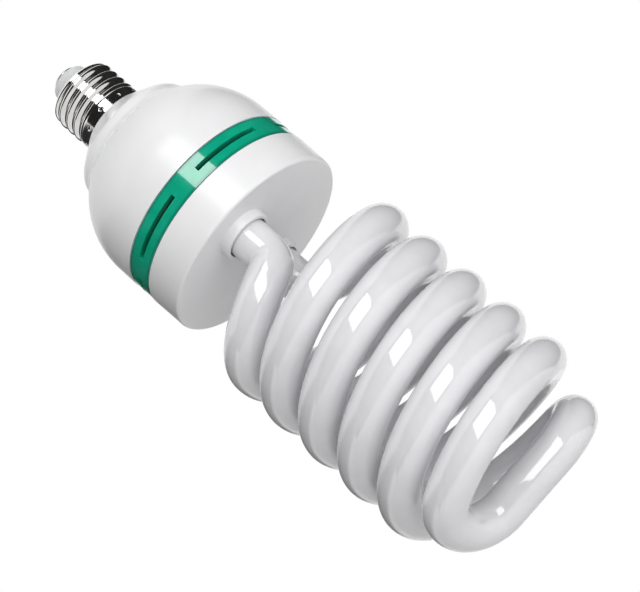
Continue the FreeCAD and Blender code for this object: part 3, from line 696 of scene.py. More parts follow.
@dataclass
class ScrewCap(Assembly):
    """Plated screw shell, white insulator and end contact. Sizes in millimetres, depths from the contact."""

    contact_radius: float = 4.8
    contact_thickness: float = 1.2
    contact_round: float = 0.5
    contact_hole_radius: float = 1.2
    contact_hole_round: float = 0.2
    insulator_end_radius: float = 6.6
    insulator_end_round: float = 2.4
    insulator_rim_radius: float = 8.25
    insulator_rim_round: float = 0.6
    insulator_bore_radius: float = 1.5
    insulator_flange_radius: float = 10.6
    insulator_flange_thickness: float = 2.0
    rim_depth: float = 7.4
    rim_radius: float = 8.6
    rim_width: float = 1.0
    rim_drop: float = 0.6
    rim_round: float = 1.3
    shoulder_height: float = 1.4
    sheet: float = 0.4
    crest_radius: float = 13.2
    thread_height: float = 1.107
    thread_pitch: float = 3.63
    thread_turns: int = 4
    thread_lead_in: float = 0.3
    thread_lead_out: float = 0.4
    thread_runout: float = 0.4
    skirt_radius: float = 13.1
    skirt_length: float = 4.7
    dot_count: int = 10
    dot_radius: float = 0.75
    dot_depth: float = 0.55
    dot_flat: float = 0.35
    dot_inset: float = 2.4
    dot_column_step: float = 5.0
    columns: int = 240
    rows_per_turn: int = 18
    skirt_rows: int = 20

    @property
    def thread_start(self) -> float:
        """Depth where the thread starts."""
        return self.rim_depth + self.shoulder_height

    @property
    def thread_end(self) -> float:
        """Depth where the thread ends."""
        return self.thread_start + self.thread_turns * self.thread_pitch

    @property
    def middle_radius(self) -> float:
        """Radius half way between the thread's crest and its root."""
        return self.crest_radius - self.thread_height / 2

    def dot_marks(self) -> list[float]:
        """Angles of the dots' middles."""
        return steps_round(self.dot_count, -90.0)

    def shell_radius(self, angle: float, depth: float) -> float:
        """Outer radius of the shell below its shoulder: a right-hand thread, then the skirt with its dots.

        Args:
            angle: Degrees round the axis.
            depth: Depth below the contact.

        Returns:
            The radius.
        """
        phase = 2 * math.pi * ((depth - self.thread_start) / self.thread_pitch + angle / 360.0)
        runout = self.thread_pitch * self.thread_runout
        fade_in = smooth(depth, self.thread_start + self.thread_lead_in, self.thread_start + runout)
        fade_out = smooth(depth, self.thread_end - runout, self.thread_end + self.thread_lead_out / 2)
        into_skirt = smooth(depth, self.thread_end - runout, self.thread_end + self.thread_lead_out)
        radius = (self.middle_radius + (self.skirt_radius - self.middle_radius) * into_skirt
                  - fade_in * (1 - fade_out) * self.thread_height / 2 * math.cos(phase))
        dot_row = self.thread_end + self.skirt_length - self.dot_inset
        if abs(depth - dot_row) < self.dot_radius:
            nearest = min(away_from(angle, mark) for mark in self.dot_marks())
            gap = math.hypot(math.radians(nearest) * self.skirt_radius, depth - dot_row)
            radius -= self.dot_depth * (1 - smooth(gap, self.dot_flat * self.dot_radius, self.dot_radius))
        return radius

    def shell_outline(self, angle: float) -> Outline:
        """Closed outline of the sheet at one angle.

        Args:
            angle: Degrees round the axis.

        Returns:
            The outline's points.
        """
        start = self.thread_start + self.thread_lead_in
        skirt = self.thread_end + self.thread_lead_out
        end = self.thread_end + self.skirt_length
        count = self.thread_turns * self.rows_per_turn
        depths = [start + (skirt - start) * row / count for row in range(count + 1)]
        depths += [skirt + (end - skirt) * row / self.skirt_rows for row in range(1, self.skirt_rows + 1)]
        lip = rounded([(self.rim_radius, self.rim_depth),
                       (self.middle_radius - self.rim_width, self.rim_depth + self.rim_drop, self.rim_round),
                       (self.middle_radius, start)], closed=False)
        outer = lip[:-1] + [(self.shell_radius(angle, depth), depth) for depth in depths]
        under_rim = self.rim_depth + self.sheet
        inner = [(radius - self.sheet, max(depth, under_rim)) for radius, depth in outer[1:]]
        return outer + inner[::-1]

    def build(self) -> None:
        """Builds the shell, the insulator and the contact."""
        near = [mark + side * self.dot_column_step for mark in self.dot_marks() for side in (-1, 0, 1)]
        shell = turned("screw_shell_threaded", self.shell_outline, fitted_steps(near, 360.0 / self.columns))
        self.join(shell, Slot.NICKEL, "screw_shell")

        flange = self.thread_start + self.thread_lead_in
        bottom = flange + self.insulator_flange_thickness
        cone = rounded([
            (self.insulator_bore_radius, self.contact_thickness),
            (self.insulator_end_radius, self.contact_thickness, self.insulator_end_round),
            (self.insulator_rim_radius, self.rim_depth - self.sheet, self.insulator_rim_round),
            (self.insulator_rim_radius, flange),
            (self.insulator_flange_radius, flange),
            (self.insulator_flange_radius, bottom),
            (self.insulator_bore_radius, bottom),
        ])
        insulator = turned("cap_insulator_cone", lambda angle: cone, steps_round(ROUND_STEPS))
        self.join(insulator, Slot.INSULATOR, "cap_insulator")

        disc = rounded([
            (self.contact_hole_radius, 0.0, self.contact_hole_round),
            (self.contact_radius, 0.0, self.contact_round),
            (self.contact_radius, self.contact_thickness),
            (self.contact_hole_radius, self.contact_thickness),
        ])
        contact = turned("centre_contact_disc", lambda angle: disc, steps_round(ROUND_STEPS))
        self.join(contact, Slot.CONTACT, "centre_contact")


@dataclass
class Housing(Assembly):
    """Upper housing, vent ring and lower housing. Sizes in millimetres, depths from the contact."""

    wall: float = 1.8
    top_depth: float = 28.02
    seam: float = 0.1
    neck_lip_radius: float = 14.0
    spigot_radius: float = 12.55
    spigot_wall: float = 1.7
    spigot_length: float = 3.01
    spigot_round: float = 0.4
    seam_round: float = 0.3
    shoulder_radius: float = 23.9
    shoulder_drop: float = 8.4
    shoulder_round: float = 5.5
    step_radius: float = 24.8
    step_drop: float = 3.6
    step_round: float = 3.0
    body_radius: float = 36.7
    flare_drop: float = 13.8
    dome_round: float = 31.0
    wall_drop: float = 19.9
    dimple_count: int = 16
    dimple_span: float = 14.0
    dimple_height: float = 1.3
    dimple_deep: float = 0.3
    dimple_rise: float = 2.2
    dimple_soft: float = 0.25
    dimple_soft_angle: float = 0.35
    dimple_row_gap: float = 0.11
    dimple_row_margin: float = 1.0
    arc_step: float = 4.0
    column_step: float = 2.0
    ring_height: float = 9.3
    ring_inset: float = 0.15
    ring_round: float = 0.35
    tongue_length: float = 1.6
    tongue_thickness: float = 1.1
    tongue_fit: float = 0.15
    tongue_round: float = 0.3
    slot_count: int = 6
    slot_span: float = 42.0
    slot_height: float = 1.8
    drum_height: float = 14.0
    drum_draft: float = 0.3
    drum_rim_round: float = 1.2
    drum_inner_round: float = 1.0
    drum_columns: int = 180
    drum_sharp: float = 30.0
    face_thickness: float = 2.0
    leg_offset: float = 18.4
    collar_height: float = 3.3
    collar_round: float = 0.5
    collar_cone_rise: float = 0.2
    collar_radius: float = 9.5
    collar_top_radius: float = 9.15
    collar_bore_radius: float = 7.95
    bore_overrun: float = 1.0
    sleeve_height: float = 5.2

    @property
    def step_depth(self) -> float:
        """Depth of the step in the dome."""
        return self.top_depth + self.shoulder_drop + self.step_drop

    @property
    def ring_top(self) -> float:
        """Depth of the vent ring's top."""
        return self.step_depth + self.flare_drop + self.wall_drop

    @property
    def ring_bottom(self) -> float:
        """Depth of the vent ring's lower edge."""
        return self.ring_top + self.ring_height

    @property
    def face_depth(self) -> float:
        """Depth of the flat face."""
        return self.ring_bottom + self.drum_height

    @property
    def dimple_depth(self) -> float:
        """Depth of the short slots' middles."""
        return self.step_depth + self.dimple_rise

    def dimple_marks(self) -> list[float]:
        """Angles of the short slots' middles."""
        return steps_round(self.dimple_count, -90.0 + 180.0 / self.dimple_count)

    def upper_outline(self) -> Outline:
        """Closed outline of the upper housing, with extra rows where the short slots are."""
        chain = [
            (self.neck_lip_radius, self.top_depth + self.seam, self.seam_round),
            (self.shoulder_radius, self.top_depth + self.shoulder_drop, self.shoulder_round),
            (self.step_radius, self.step_depth, self.step_round),
            (self.body_radius, self.step_depth + self.flare_drop, self.dome_round),
            (self.body_radius, self.ring_top - self.seam),
        ]
        bore = self.spigot_radius - self.spigot_wall
        inner = inset(chain, self.wall)
        inner[0] = (bore, self.top_depth + self.wall)
        neck = [(bore, self.top_depth - self.spigot_length),
                (self.spigot_radius, self.top_depth - self.spigot_length, self.spigot_round),
                (self.spigot_radius, self.top_depth + self.seam)]
        points = rounded(neck + chain + inner[::-1], arc_step=self.arc_step)
        low = self.dimple_depth - self.dimple_height
        high = self.dimple_depth + self.dimple_height + self.dimple_row_margin
        dense: Outline = []
        for here, ahead in zip(points, points[1:] + points[:1]):
            near = here[1] < ahead[1] and here[1] < high and low < ahead[1]
            parts = max(1, math.ceil((ahead[1] - here[1]) / self.dimple_row_gap)) if near else 1
            for part in range(parts):
                share = part / parts
                dense.append((here[0] + (ahead[0] - here[0]) * share, here[1] + (ahead[1] - here[1]) * share))
        return dense

    def build_upper(self) -> None:
        """Builds the dome with its ring of short shallow slots."""
        outline = self.upper_outline()
        marks = self.dimple_marks()
        half, soft = self.dimple_span / 2, self.dimple_soft_angle

        def outline_at(angle: float) -> Outline:
            """Outline with the short slots pressed in."""
            along = 1 - smooth(min(away_from(angle, mark) for mark in marks), half - soft, half + soft)
            if along == 0:
                return outline
            shaped: Outline = []
            for radius, depth in outline:
                across = 1 - smooth(abs(depth - self.dimple_depth), self.dimple_height / 2 - self.dimple_soft,
                                    self.dimple_height / 2 + self.dimple_soft)
                outside = radius > self.step_radius + self.dimple_deep / 2
                shaped.append((radius - self.dimple_deep * along * across * outside, depth))
            return shaped

        edges = [mark + side * (half + shift) for mark in marks for side in (-1, 1)
                 for shift in (-soft, 0.0, soft)]
        upper = turned("upper_housing_shell", outline_at, fitted_steps(edges, self.column_step))
        self.join(upper, Slot.HOUSING, "upper_housing")

    def build_ring(self) -> None:
        """Builds the clear ring with its long thin slots cut right through."""
        outer = self.body_radius - self.ring_inset
        tongue = self.body_radius - self.wall - self.tongue_fit
        inner = tongue - self.tongue_thickness
        middle = (self.ring_top + self.ring_bottom) / 2
        slot_top, slot_bottom = middle - self.slot_height / 2, middle + self.slot_height / 2
        outline = rounded([
            (inner, slot_top), (inner, self.ring_top - self.tongue_length),
            (tongue, self.ring_top - self.tongue_length, self.tongue_round), (tongue, self.ring_top),
            (outer, self.ring_top, self.ring_round), (outer, slot_top), (outer, slot_bottom),
            (outer, self.ring_bottom, self.ring_round), (tongue, self.ring_bottom),
            (tongue, self.ring_bottom + self.tongue_length, self.tongue_round),
            (inner, self.ring_bottom + self.tongue_length), (inner, slot_bottom),
        ])
        count = len(outline)
        window = [min(range(count), key=lambda row: math.dist(outline[row], corner)) for corner in (
            (outer, slot_top), (outer, slot_bottom), (inner, slot_bottom), (inner, slot_top))]
        outer_top, outer_bottom, inner_bottom, inner_top = window
        half = self.slot_span / 2
        marks = steps_round(self.slot_count)
        angles = fitted_steps([mark + side * half for mark in marks for side in (-1, 1)], self.column_step)
        shape = bmesh.new()
        columns = [column(shape, outline, angle) for angle in angles]
        for angle, next_angle, here, ahead in zip(angles, angles[1:] + [angles[0] + 360.0],
                                                  columns, columns[1:] + columns[:1]):
            cut = min(away_from((angle + next_angle) / 2, mark) for mark in marks) < half
            for row in range(count):
                if not cut or row not in (outer_top, inner_bottom):
                    below = (row + 1) % count
                    shape.faces.new((here[row], ahead[row], ahead[below], here[below]))
            if cut:
                for first, second in ((outer_top, inner_top), (inner_bottom, outer_bottom)):
                    shape.faces.new((here[first], ahead[first], ahead[second], here[second]))
            if min(abs(away_from(angle, mark) - half) for mark in marks) < SAME_PLACE:
                shape.faces.new([here[row] for row in window])
        self.join(as_piece(shape, "vent_ring_clear"), Slot.RING, "vent_ring")

    def build_lower(self) -> None:
        """Builds the drum with its face and the two collars."""
        seam = self.ring_bottom + self.seam
        rim_radius = self.body_radius - self.drum_draft
        back = self.face_depth - self.face_thickness
        wall = rounded([
            (0.0, back), (rim_radius - self.wall, back, self.drum_inner_round),
            (self.body_radius - self.wall, seam), (self.body_radius, seam, self.seam_round),
            (rim_radius, self.face_depth, self.drum_rim_round), (0.0, self.face_depth),
        ], closed=False)
        drum = turned("lower_housing_drum", lambda angle: wall, steps_round(self.drum_columns), closed=False)
        mouth = self.face_depth + self.collar_height
        sleeve = self.face_depth - self.sleeve_height
        collar = rounded([
            (0.0, sleeve), (self.collar_radius, sleeve, self.collar_round),
            (self.collar_radius, self.face_depth + self.collar_cone_rise),
            (self.collar_top_radius, mouth, self.collar_round), (0.0, mouth),
        ], closed=False)
        start, end = sleeve - self.sleeve_height, mouth + self.bore_overrun
        bore = [(0.0, start), (self.collar_bore_radius, start), (self.collar_bore_radius, end), (0.0, end)]
        for operation, outline in (("UNION", collar), ("DIFFERENCE", bore)):
            for place in (-self.leg_offset, self.leg_offset):
                tool = turned("tool", lambda angle: outline, steps_round(ROUND_STEPS), closed=False)
                tool.data.transform(Matrix.Translation((0, place * MM, 0)))
                cut = drum.modifiers.new("cut", "BOOLEAN")
                cut.operation = operation
                cut.solver = "EXACT"
                cut.object = tool
                bake(drum)
                bpy.data.objects.remove(tool)
        self.join(finish_mesh(drum, self.drum_sharp), Slot.HOUSING, "lower_housing")

    def build(self) -> None:
        """Builds the three parts of the housing."""
        self.build_upper()
        self.build_ring()
        self.build_lower()


@dataclass
class SpiralTube(Assembly):
    """The glass tube, from one leg over the tip to the other leg. Sizes in millimetres, turns in degrees."""

    face_depth: float
    leg_offset: float
    tube_radius: float = 7.33
    leg_end_inside: float = 9.2
    elbow_drop: float = 10.8
    elbow_radius: float = 7.75
    elbow_turn: float = 64.0
    coil_radius: float = 32.7
    coil_spacing: float = 17.5
    coil_drop: float = 21.4
    join_angle: float = 172.0
    turns: float = 2.376
    bridge_length: float = 22.6
    tip_rise: float = 9.8
    points_per_turn: int = 90
    elbow_steps: int = 12
    run_steps: int = 24
    tip_steps: int = 30
    sides: int = 56
    sharp: float = 40.0

    def coil_depth_at(self, angle: float) -> float:
        """Depth of the coil's middle line at an angle in degrees."""
        return self.face_depth + self.coil_drop + self.coil_spacing * (angle - 90.0) / 180.0

    @property
    def slope(self) -> float:
        """Steepness of the coil."""
        return self.coil_spacing / (math.pi * self.coil_radius)

    @staticmethod
    def blend(share: float, length: float, ends: tuple[float, float], slopes: tuple[float, float]) -> float:
        """Depth part of the way along a stretch.

        Args:
            share: Part of the way, 0 to 1.
            length: Plan length of the stretch.
            ends: Depths at its ends.
            slopes: Slopes at its ends.

        Returns:
            The depth.
        """
        drop = ends[1] - ends[0]
        a, b = slopes[0] * length, slopes[1] * length
        return ends[0] + share * (a + share * (3 * drop - 2 * a - b + share * (a + b - 2 * drop)))

    @staticmethod
    def at(centre: tuple[float, float], radius: float, angle: float, depth: float) -> Vector:
        """Point on a plan circle at an angle in radians counted on as the tube winds down."""
        return Vector((centre[0] + radius * math.cos(angle), -centre[1] - radius * math.sin(angle), -depth))

    def strand(self) -> list[Vector]:
        """Middle line from the front leg's end to the end of the bend at the tip."""
        join = math.radians(self.join_angle)
        reach = self.leg_offset * math.sin(join)
        radius = ((self.leg_offset ** 2 - 2 * self.coil_radius * reach + self.coil_radius ** 2)
                  / (2 * (self.coil_radius - reach)))
        centre = ((self.coil_radius - radius) * math.cos(join), (self.coil_radius - radius) * math.sin(join))
        first = math.atan2(self.leg_offset - centre[1], -centre[0])
        heading = Vector((-math.sin(first), -math.cos(first), 0))
        foot = self.face_depth + self.elbow_drop
        leg = Vector((0, -self.leg_offset, -foot))
        fall = math.radians(self.elbow_turn)
        points = [Vector((0, -self.leg_offset, -(self.face_depth - self.leg_end_inside))), leg]
        for step in range(1, self.elbow_steps + 1):
            turn = fall * step / self.elbow_steps
            points.append(leg + heading * (self.elbow_radius * (1 - math.cos(turn)))
                          - Vector((0, 0, self.elbow_radius * math.sin(turn))))
        run = self.elbow_radius * (1 - math.cos(fall))
        length = (join - first) * radius - run
        start = foot + self.elbow_radius * math.sin(fall)
        for step in range(1, self.run_steps):
            share = step / self.run_steps
            depth = self.blend(share, length, (start, self.coil_depth_at(self.join_angle)),
                               (1 / math.tan(fall), self.slope))
            points.append(self.at(centre, radius, first + (run + share * length) / radius, depth))
        steps = round(self.turns * self.points_per_turn)
        for step in range(steps + 1):
            angle = self.join_angle + 360.0 * self.turns * step / steps
            points.append(self.at((0, 0), self.coil_radius, math.radians(angle), self.coil_depth_at(angle)))
        last = self.join_angle + 360.0 * self.turns
        depth, end = self.coil_depth_at(last), math.radians(last)
        tip_radius = (self.coil_radius ** 2 - (self.bridge_length / 2) ** 2) / (2 * self.coil_radius)
        swing = self.coil_radius - tip_radius
        bend = math.pi / 2 + math.asin(tip_radius / swing)
        hub = (swing * math.cos(end), swing * math.sin(end))
        for step in range(1, self.tip_steps + 1):
            share = step / self.tip_steps
            fallen = self.blend(share, tip_radius * bend, (depth, depth + self.tip_rise), (self.slope, 0.0))
            points.append(self.at(hub, tip_radius, end + share * bend, fallen))
        return points

    def tree(self, material: bpy.types.Material) -> Tree:
        """Node tree that sweeps a round section along a line and closes its ends.

        Args:
            material: The tube's material.

        Returns:
            The tree.
        """
        tree = Tree("tube_along_line", {"Tube radius": ("NodeSocketFloat", 0.007),
                                        "Sides": ("NodeSocketInt", 32)})
        line = tree.node("GeometryNodeMeshToCurve", {}, {"Mesh": tree.given["Geometry"]})
        section = tree.node("GeometryNodeCurvePrimitiveCircle", {"mode": "RADIUS"},
                            {"Resolution": tree.given["Sides"], "Radius": tree.given["Tube radius"]})
        swept = tree.node("GeometryNodeCurveToMesh", {}, {
            "Curve": line.outputs[0], "Profile Curve": section.outputs[0], "Fill Caps": True})
        tree.end(swept.outputs[0], material)
        return tree

    def build(self) -> None:
        """Builds the tube."""
        strand = self.strand()
        other = [Vector((-point.x, -point.y, point.z)) for point in strand]
        points = [tuple(point * MM) for point in strand + other[::-1]]
        mesh = bpy.data.meshes.new("spiral_tube_glass")
        mesh.from_pydata(points, [(index, index + 1) for index in range(len(points) - 1)], [])
        tree = self.tree(self.finishes.made[Slot.TUBE])
        tube = tree.run(link("spiral_tube_glass", mesh),
                        {"Tube radius": self.tube_radius * MM, "Sides": self.sides})
        self.join(finish_mesh(tube, self.sharp), Slot.TUBE, "spiral_tube")


@dataclass
class Finishes:
    """Every finish, and the CAD nodes that keep their own shape and only get one."""

    made: dict[Slot, bpy.types.Material] = field(default_factory=dict)

    def all(self) -> list[Finish]:
        """The finishes, one for each slot."""
        return [
            NickelFinish("bright_nickel", Slot.NICKEL, (0.84, 0.83, 0.82), (0.76, 0.75, 0.74), 0.07,
                         metallic=1.0, grain_height=0.004),
            Finish("white_insulator", Slot.INSULATOR, (0.72, 0.73, 0.73), (0.66, 0.67, 0.68), 0.3, 0.08,
                   grain_height=0.02),
            Finish("contact_metal", Slot.CONTACT, (0.80, 0.79, 0.76), (0.70, 0.69, 0.66), 0.3, 0.08, 1.0),
            Finish("solder", Slot.SOLDER, (0.6, 0.6, 0.62), (0.5, 0.5, 0.52), 0.3, 0.1, 1.0, mottle_size=1.0,
                   grain_height=0.05),
            Finish("white_housing", Slot.HOUSING, (0.88, 0.88, 0.89), (0.86, 0.86, 0.87), 0.35, 0.03,
                   coat=0.5, coat_roughness=0.2, mottle_size=14.0, grain_size=1.2, grain_height=0.006),
            RingFinish("clear_green", Slot.RING, (0.005, 0.46, 0.28), (0.0, 0.38, 0.23), 0.14, 0.02,
                       bend=1.49, coat=1.0, coat_roughness=0.04, coat_bend=1.8, glow=0.25,
                       glow_color=(0.2, 1.0, 0.7), glow_depth=2.0, mottle_detail=3.0,
                       mottle_range=(0.25, 0.75), grain_height=0.004),
            GlassFinish("coated_glass", Slot.TUBE, (0.81, 0.80, 0.82), (0.78, 0.775, 0.795), 0.515, 0.015,
                        gloss=0.2, coat=1.0, coat_roughness=0.01, coat_bend=1.9, glow=0.35, glow_depth=3.0,
                        mottle_size=9.0, grain_size=9.0, grain_detail=1.0, grain_height=0.006),
            # The cement is painted darker than real grey cement, as the shade deep in the collar bores.
            Finish("cement", Slot.CEMENT, (0.36, 0.34, 0.31), (0.3, 0.28, 0.25), 0.85, 0.08,
                   grain_height=0.08),
            Finish("laminate", Slot.BOARD, (0.5, 0.38, 0.16), (0.42, 0.31, 0.12), 0.5, 0.1, mottle_size=3.0),
            Finish("dark_sleeve", Slot.CAN, (0.03, 0.035, 0.06), (0.02, 0.024, 0.045), 0.35, 0.1),
            Finish("ferrite", Slot.FERRITE, (0.06, 0.06, 0.065), (0.035, 0.035, 0.04), 0.6, 0.1,
                   mottle_size=1.5, grain_height=0.04),
            Finish("bobbin_plastic", Slot.BOBBIN, (0.03, 0.03, 0.03), (0.02, 0.02, 0.02), 0.4, 0.08),
            Finish("enamelled_copper", Slot.COPPER, (0.55, 0.2, 0.07), (0.4, 0.13, 0.04), 0.3, 0.08, 0.9,
                   grain_size=0.5, grain_height=0.06, stretch=(0.2, 0.2, 1.0)),
            Finish("plain_aluminium", Slot.SINK, (0.72, 0.73, 0.75), (0.62, 0.63, 0.65), 0.35, 0.08, 1.0),
            Finish("plated_steel", Slot.STEEL, (0.55, 0.55, 0.56), (0.45, 0.45, 0.46), 0.3, 0.08, 1.0),
            Finish("moulded_case", Slot.PACKAGE, (0.03, 0.03, 0.032), (0.02, 0.02, 0.022), 0.5, 0.08),
            Finish("dipped_film", Slot.FILM, (0.35, 0.03, 0.02), (0.28, 0.02, 0.015), 0.25, 0.06),
            Finish("dipped_disc", Slot.DISC, (0.05, 0.16, 0.13), (0.03, 0.11, 0.09), 0.4, 0.08),
            Finish("diode_case", Slot.DIODE, (0.025, 0.025, 0.028), (0.02, 0.02, 0.02), 0.4, 0.08),
            Finish("painted_resistor", Slot.RESISTOR, (0.18, 0.34, 0.46), (0.13, 0.27, 0.38), 0.4, 0.08),
            Finish("fuse_case", Slot.FUSE, (0.1, 0.07, 0.04), (0.07, 0.05, 0.03), 0.45, 0.08),
            Finish("tinned_wire", Slot.TINNED_WIRE, (0.7, 0.7, 0.71), (0.6, 0.6, 0.61), 0.25, 0.08, 1.0),
            Finish("sleeved_wire", Slot.SLEEVE_WIRE, (0.7, 0.69, 0.66), (0.62, 0.61, 0.58), 0.5, 0.08),
        ]

    def build(self) -> None:
        """Makes every material."""
        for finish in self.all():
            self.made[finish.slot] = finish.build()
        log.info("%d materials", len(self.made))

    def wear(self, piece: bpy.types.Object, slot: Slot) -> None:
        """Gives a piece the material of a slot."""
        piece.data.materials.clear()
        piece.data.materials.append(self.made[slot])

    def wear_nodes(self, frame: dict[str, object]) -> None:
        """Gives every CAD node of the frame the material of its slot in the record."""
        for row in frame["record"]["subparts"]:
            self.wear(frame["nodes"][row["node"]], Slot(row["material_slot"]))


@dataclass
class Studio:
    """Pale floor, white surroundings, soft lights, dark cards and a camera as the photograph's.

    The camera looks at the lamp's axis from a distance, with the axis leaning away from the picture plane
    and turned in it. Sizes in millimetres and degrees; lights and cards are placed in metres.
    """

    floor_depth: float = 1100.0
    distance: float = 713.6
    lean: float = 20.4
    roll: float = 41.06
    aim_depth: float = 69.2
    aim_pixel: tuple[float, float] = (200.7, 196.2)
    frame_pixels: tuple[int, int] = (640, 592)
    focal_pixels: float = 2100.0
    sensor: float = 36.0
    clip: tuple[float, float] = (50.0, 20000.0)
    ambient: float = 0.34
    floor_half: float = 4000.0
    floor_white: float = 0.75
    floor_colors: tuple[Color, Color] = ((0.8, 0.8, 0.8), (0.77, 0.77, 0.77))
    floor_mottle: float = 90.0
    floor_roughness: float = 0.6
    card_color: Corner = (0.05, 0.05, 0.05, 1.0)
    card_roughness: float = 0.9
    card_edge: float = 600.0
    middle_depth: float = 120.0

    def build_floor(self) -> None:
        """Builds the floor, which looks paler to the camera than the light on it makes it."""
        graph = Graph("pale_floor")
        pale = graph.principled({
            "Base Color": graph.blend(graph.noise(self.floor_mottle, detail=3.0), *self.floor_colors),
            "Roughness": self.floor_roughness,
        })
        white = graph.node("ShaderNodeEmission", {}, {"Color": WHITE}).outputs[0]
        seen = graph.looked_at() * self.floor_white
        mix = graph.node("ShaderNodeMixShader", {}, {0: seen, 1: pale, 2: white})
        graph.tree.links.new(mix.outputs[0], graph.output)
        half = self.floor_half * MM
        floor = self.sheet("floor", [Vector((x * half, y * half, -self.floor_depth * MM)) for x, y in SQUARE])
        floor.data.materials.append(graph.material)

    def build_world(self) -> None:
        """Builds surroundings that are white to the camera and in gloss, and that light the lamp softly."""
        world = bpy.data.worlds.new("surroundings")
        world.use_nodes = True
        world.node_tree.nodes.clear()
        nodes = Nodes(world.node_tree)
        soft, white = (nodes.node("ShaderNodeBackground", {}, {"Color": WHITE, "Strength": strength})
                       for strength in (self.ambient, 1.0))
        mix = nodes.node("ShaderNodeMixShader", {}, {0: nodes.looked_at(), 1: soft.outputs[0],
                                                     2: white.outputs[0]})
        nodes.node("ShaderNodeOutputWorld", {}, {"Surface": mix.outputs[0]})
        bpy.context.scene.world = world

    @staticmethod
    def sheet(name: str, corners: Sequence[Vector]) -> bpy.types.Object:
        """Makes an object of one square face, in metres."""
        mesh = bpy.data.meshes.new(name)
        mesh.from_pydata(corners, [], [(0, 1, 2, 3)])
        return link(name, mesh)

    def axes(self) -> tuple[Vector, Vector, Vector]:
        """Camera's right, down and forward directions in the lamp's frame."""
        lean, roll = math.radians(self.lean), math.radians(self.roll)
        tip = Vector((math.cos(lean) * math.cos(roll), math.cos(lean) * math.sin(roll), -math.sin(lean)))
        side = Vector((math.sin(roll), -math.cos(roll), 0.0))
        near = tip.cross(side)
        rows = Matrix((side, -near, -tip)).transposed()
        return rows[0], rows[1], rows[2]

    def build_camera(self) -> None:
        """Builds the camera."""
        right, down, forward = self.axes()
        width, height = self.frame_pixels
        x = (self.aim_pixel[0] - width / 2) * self.distance / self.focal_pixels
        y = (self.aim_pixel[1] - height / 2) * self.distance / self.focal_pixels
        aim = Vector((0, 0, -self.aim_depth))
        place = aim - right * x - down * y - forward * self.distance
        data = bpy.data.cameras.new("camera")
        data.sensor_width = self.sensor
        data.lens = self.focal_pixels / width * self.sensor
        data.clip_start, data.clip_end = (reach * MM for reach in self.clip)
        camera = bpy.data.objects.new("camera", data)
        bpy.context.scene.collection.objects.link(camera)
        turn = Matrix((right, -down, -forward)).transposed()
        camera.matrix_world = Matrix.Translation(place * MM) @ turn.to_4x4()
        bpy.context.scene.camera = camera

    def facing(self, toward: Corner, distance: float) -> Matrix:
        """Place of something that faces the lamp's middle and stands upright along the lamp.

        Args:
            toward: Direction from the lamp, as camera right, down and forward.
            distance: Metres from the lamp's middle.

        Returns:
            The place, with across, along and toward as its axes.
        """
        right, down, forward = self.axes()
        way = (right * toward[0] + down * toward[1] + forward * toward[2]).normalized()
        across = Vector((0, 0, 1)).cross(way).normalized()
        turn = Matrix((across, way.cross(across), way)).transposed()
        return Matrix.Translation(Vector((0, 0, -self.middle_depth * MM)) + way * distance) @ turn.to_4x4()

    def lamp(self, name: str, toward: Corner, distance: float, size: tuple[float, float], power: float,
             mirrored: bool = False) -> None:
        """Builds one soft light that faces the lamp's middle.

        Args:
            name: The light's name.
            toward: Direction from the lamp to the light, as camera right, down and forward.
            distance: Metres from the lamp's middle.
            size: Width and height in metres.
            power: Watts.
            mirrored: Whether gloss shows it.
        """
        data = bpy.data.lights.new(name, "AREA")
        data.shape = "RECTANGLE"
        data.size, data.size_y = size
        data.energy = power
        light = bpy.data.objects.new(name, data)
        light.visible_glossy = mirrored
        light.visible_camera = False
        bpy.context.scene.collection.objects.link(light)
        light.matrix_world = self.facing(toward, distance)

    def dark_card(self, name: str, toward: Corner, distance: float, half: tuple[float, float]) -> None:
        """Builds one big dark card with soft edges that faces the lamp's middle and that only gloss shows.

        Args:
            name: The card's name.
            toward: Direction from the lamp to the card, as camera right, down and forward.
            distance: Metres from the lamp's middle.
            half: Half its size across and along the lamp in metres.
        """
        graph = Graph(name)
        place = graph.node("ShaderNodeUVMap", {"uv_map": "UVMap"}).outputs[0]
        split = graph.node("ShaderNodeSeparateXYZ", {}, {0: place})
        solid = 1.0
        for axis, size in zip("XY", half):
            inward = (1.0 - Value(graph, split.outputs[axis]).absolute()) * size
            solid = inward.between(0.0, min(size / 2, self.card_edge * MM)) * solid
        graph.principled({"Base Color": self.card_color, "Roughness": self.card_roughness,
                          "Specular IOR Level": 0.0, "Alpha": solid})
        facing = self.facing(toward, distance)
        card = self.sheet(name, [facing @ Vector((x * half[0], y * half[1], 0)) for x, y in SQUARE])
        for loop, corner in zip(card.data.uv_layers.new(name="UVMap").data, SQUARE):
            loop.uv = corner
        card.data.materials.append(graph.material)
        card.visible_camera = card.visible_diffuse = card.visible_shadow = card.visible_transmission = False

    def build(self) -> None:
        """Builds the stage, the lights and the camera."""
        self.build_floor()
        self.dark_card("card_behind_camera", (0, 0, -1), 1.6, (5.0, 5.0))
        self.dark_card("card_upper_right", (0.68, -0.68, 0.1), 1.6, (2.4, 2.4))
        self.dark_card("card_lower_left", (-0.752, 0.530, 0.391), 1.6, (2.4, 0.75))
        self.build_world()
        self.build_camera()
        self.lamp("key", (-0.102, -0.498, -0.861), 1.1, (0.57, 1.25), 7.8, mirrored=True)
        self.lamp("side", (-0.75, -0.35, -0.45), 1.3, (0.6, 0.9), 0.6)
        self.lamp("fill", (0.3, 0.15, -0.94), 1.2, (0.9, 0.9), 2.2)
        self.lamp("right", (0.8, -0.25, -0.5), 1.2, (0.8, 0.8), 2.6)
        self.lamp("back", (0.15, -0.1, 0.98), 1.2, (0.9, 0.9), 3.6)
        self.lamp("rim", (-0.52, 0.6, 0.61), 1.3, (0.6, 1.2), 0.6)
        bpy.context.scene.view_settings.view_transform = "Standard"
        log.info("studio and camera")


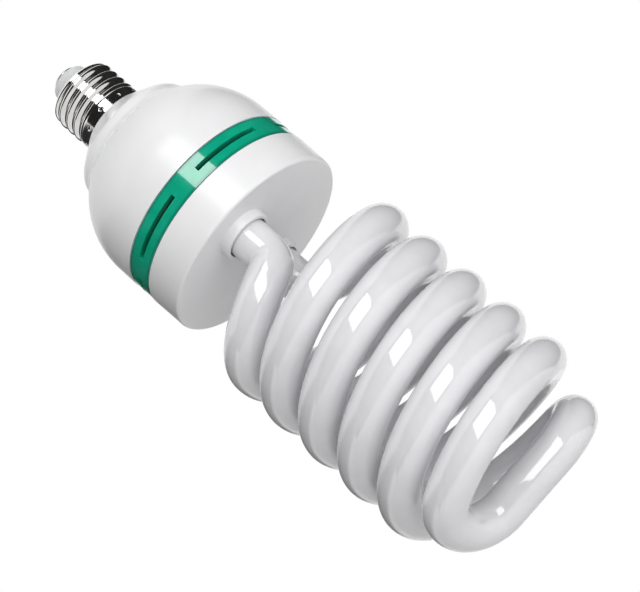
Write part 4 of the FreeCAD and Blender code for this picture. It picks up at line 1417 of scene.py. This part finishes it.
def main() -> None:
    """Builds the lamp and its studio in order."""
    logging.basicConfig(level=logging.INFO, format="%(message)s")
    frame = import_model()
    finishes = Finishes()
    finishes.build()
    finishes.wear_nodes(frame)
    ScrewCap(finishes).build()
    housing = Housing(finishes)
    housing.build()
    SpiralTube(finishes, housing.face_depth, housing.leg_offset).build()
    Studio().build()


if __name__ == "__main__":
    main()
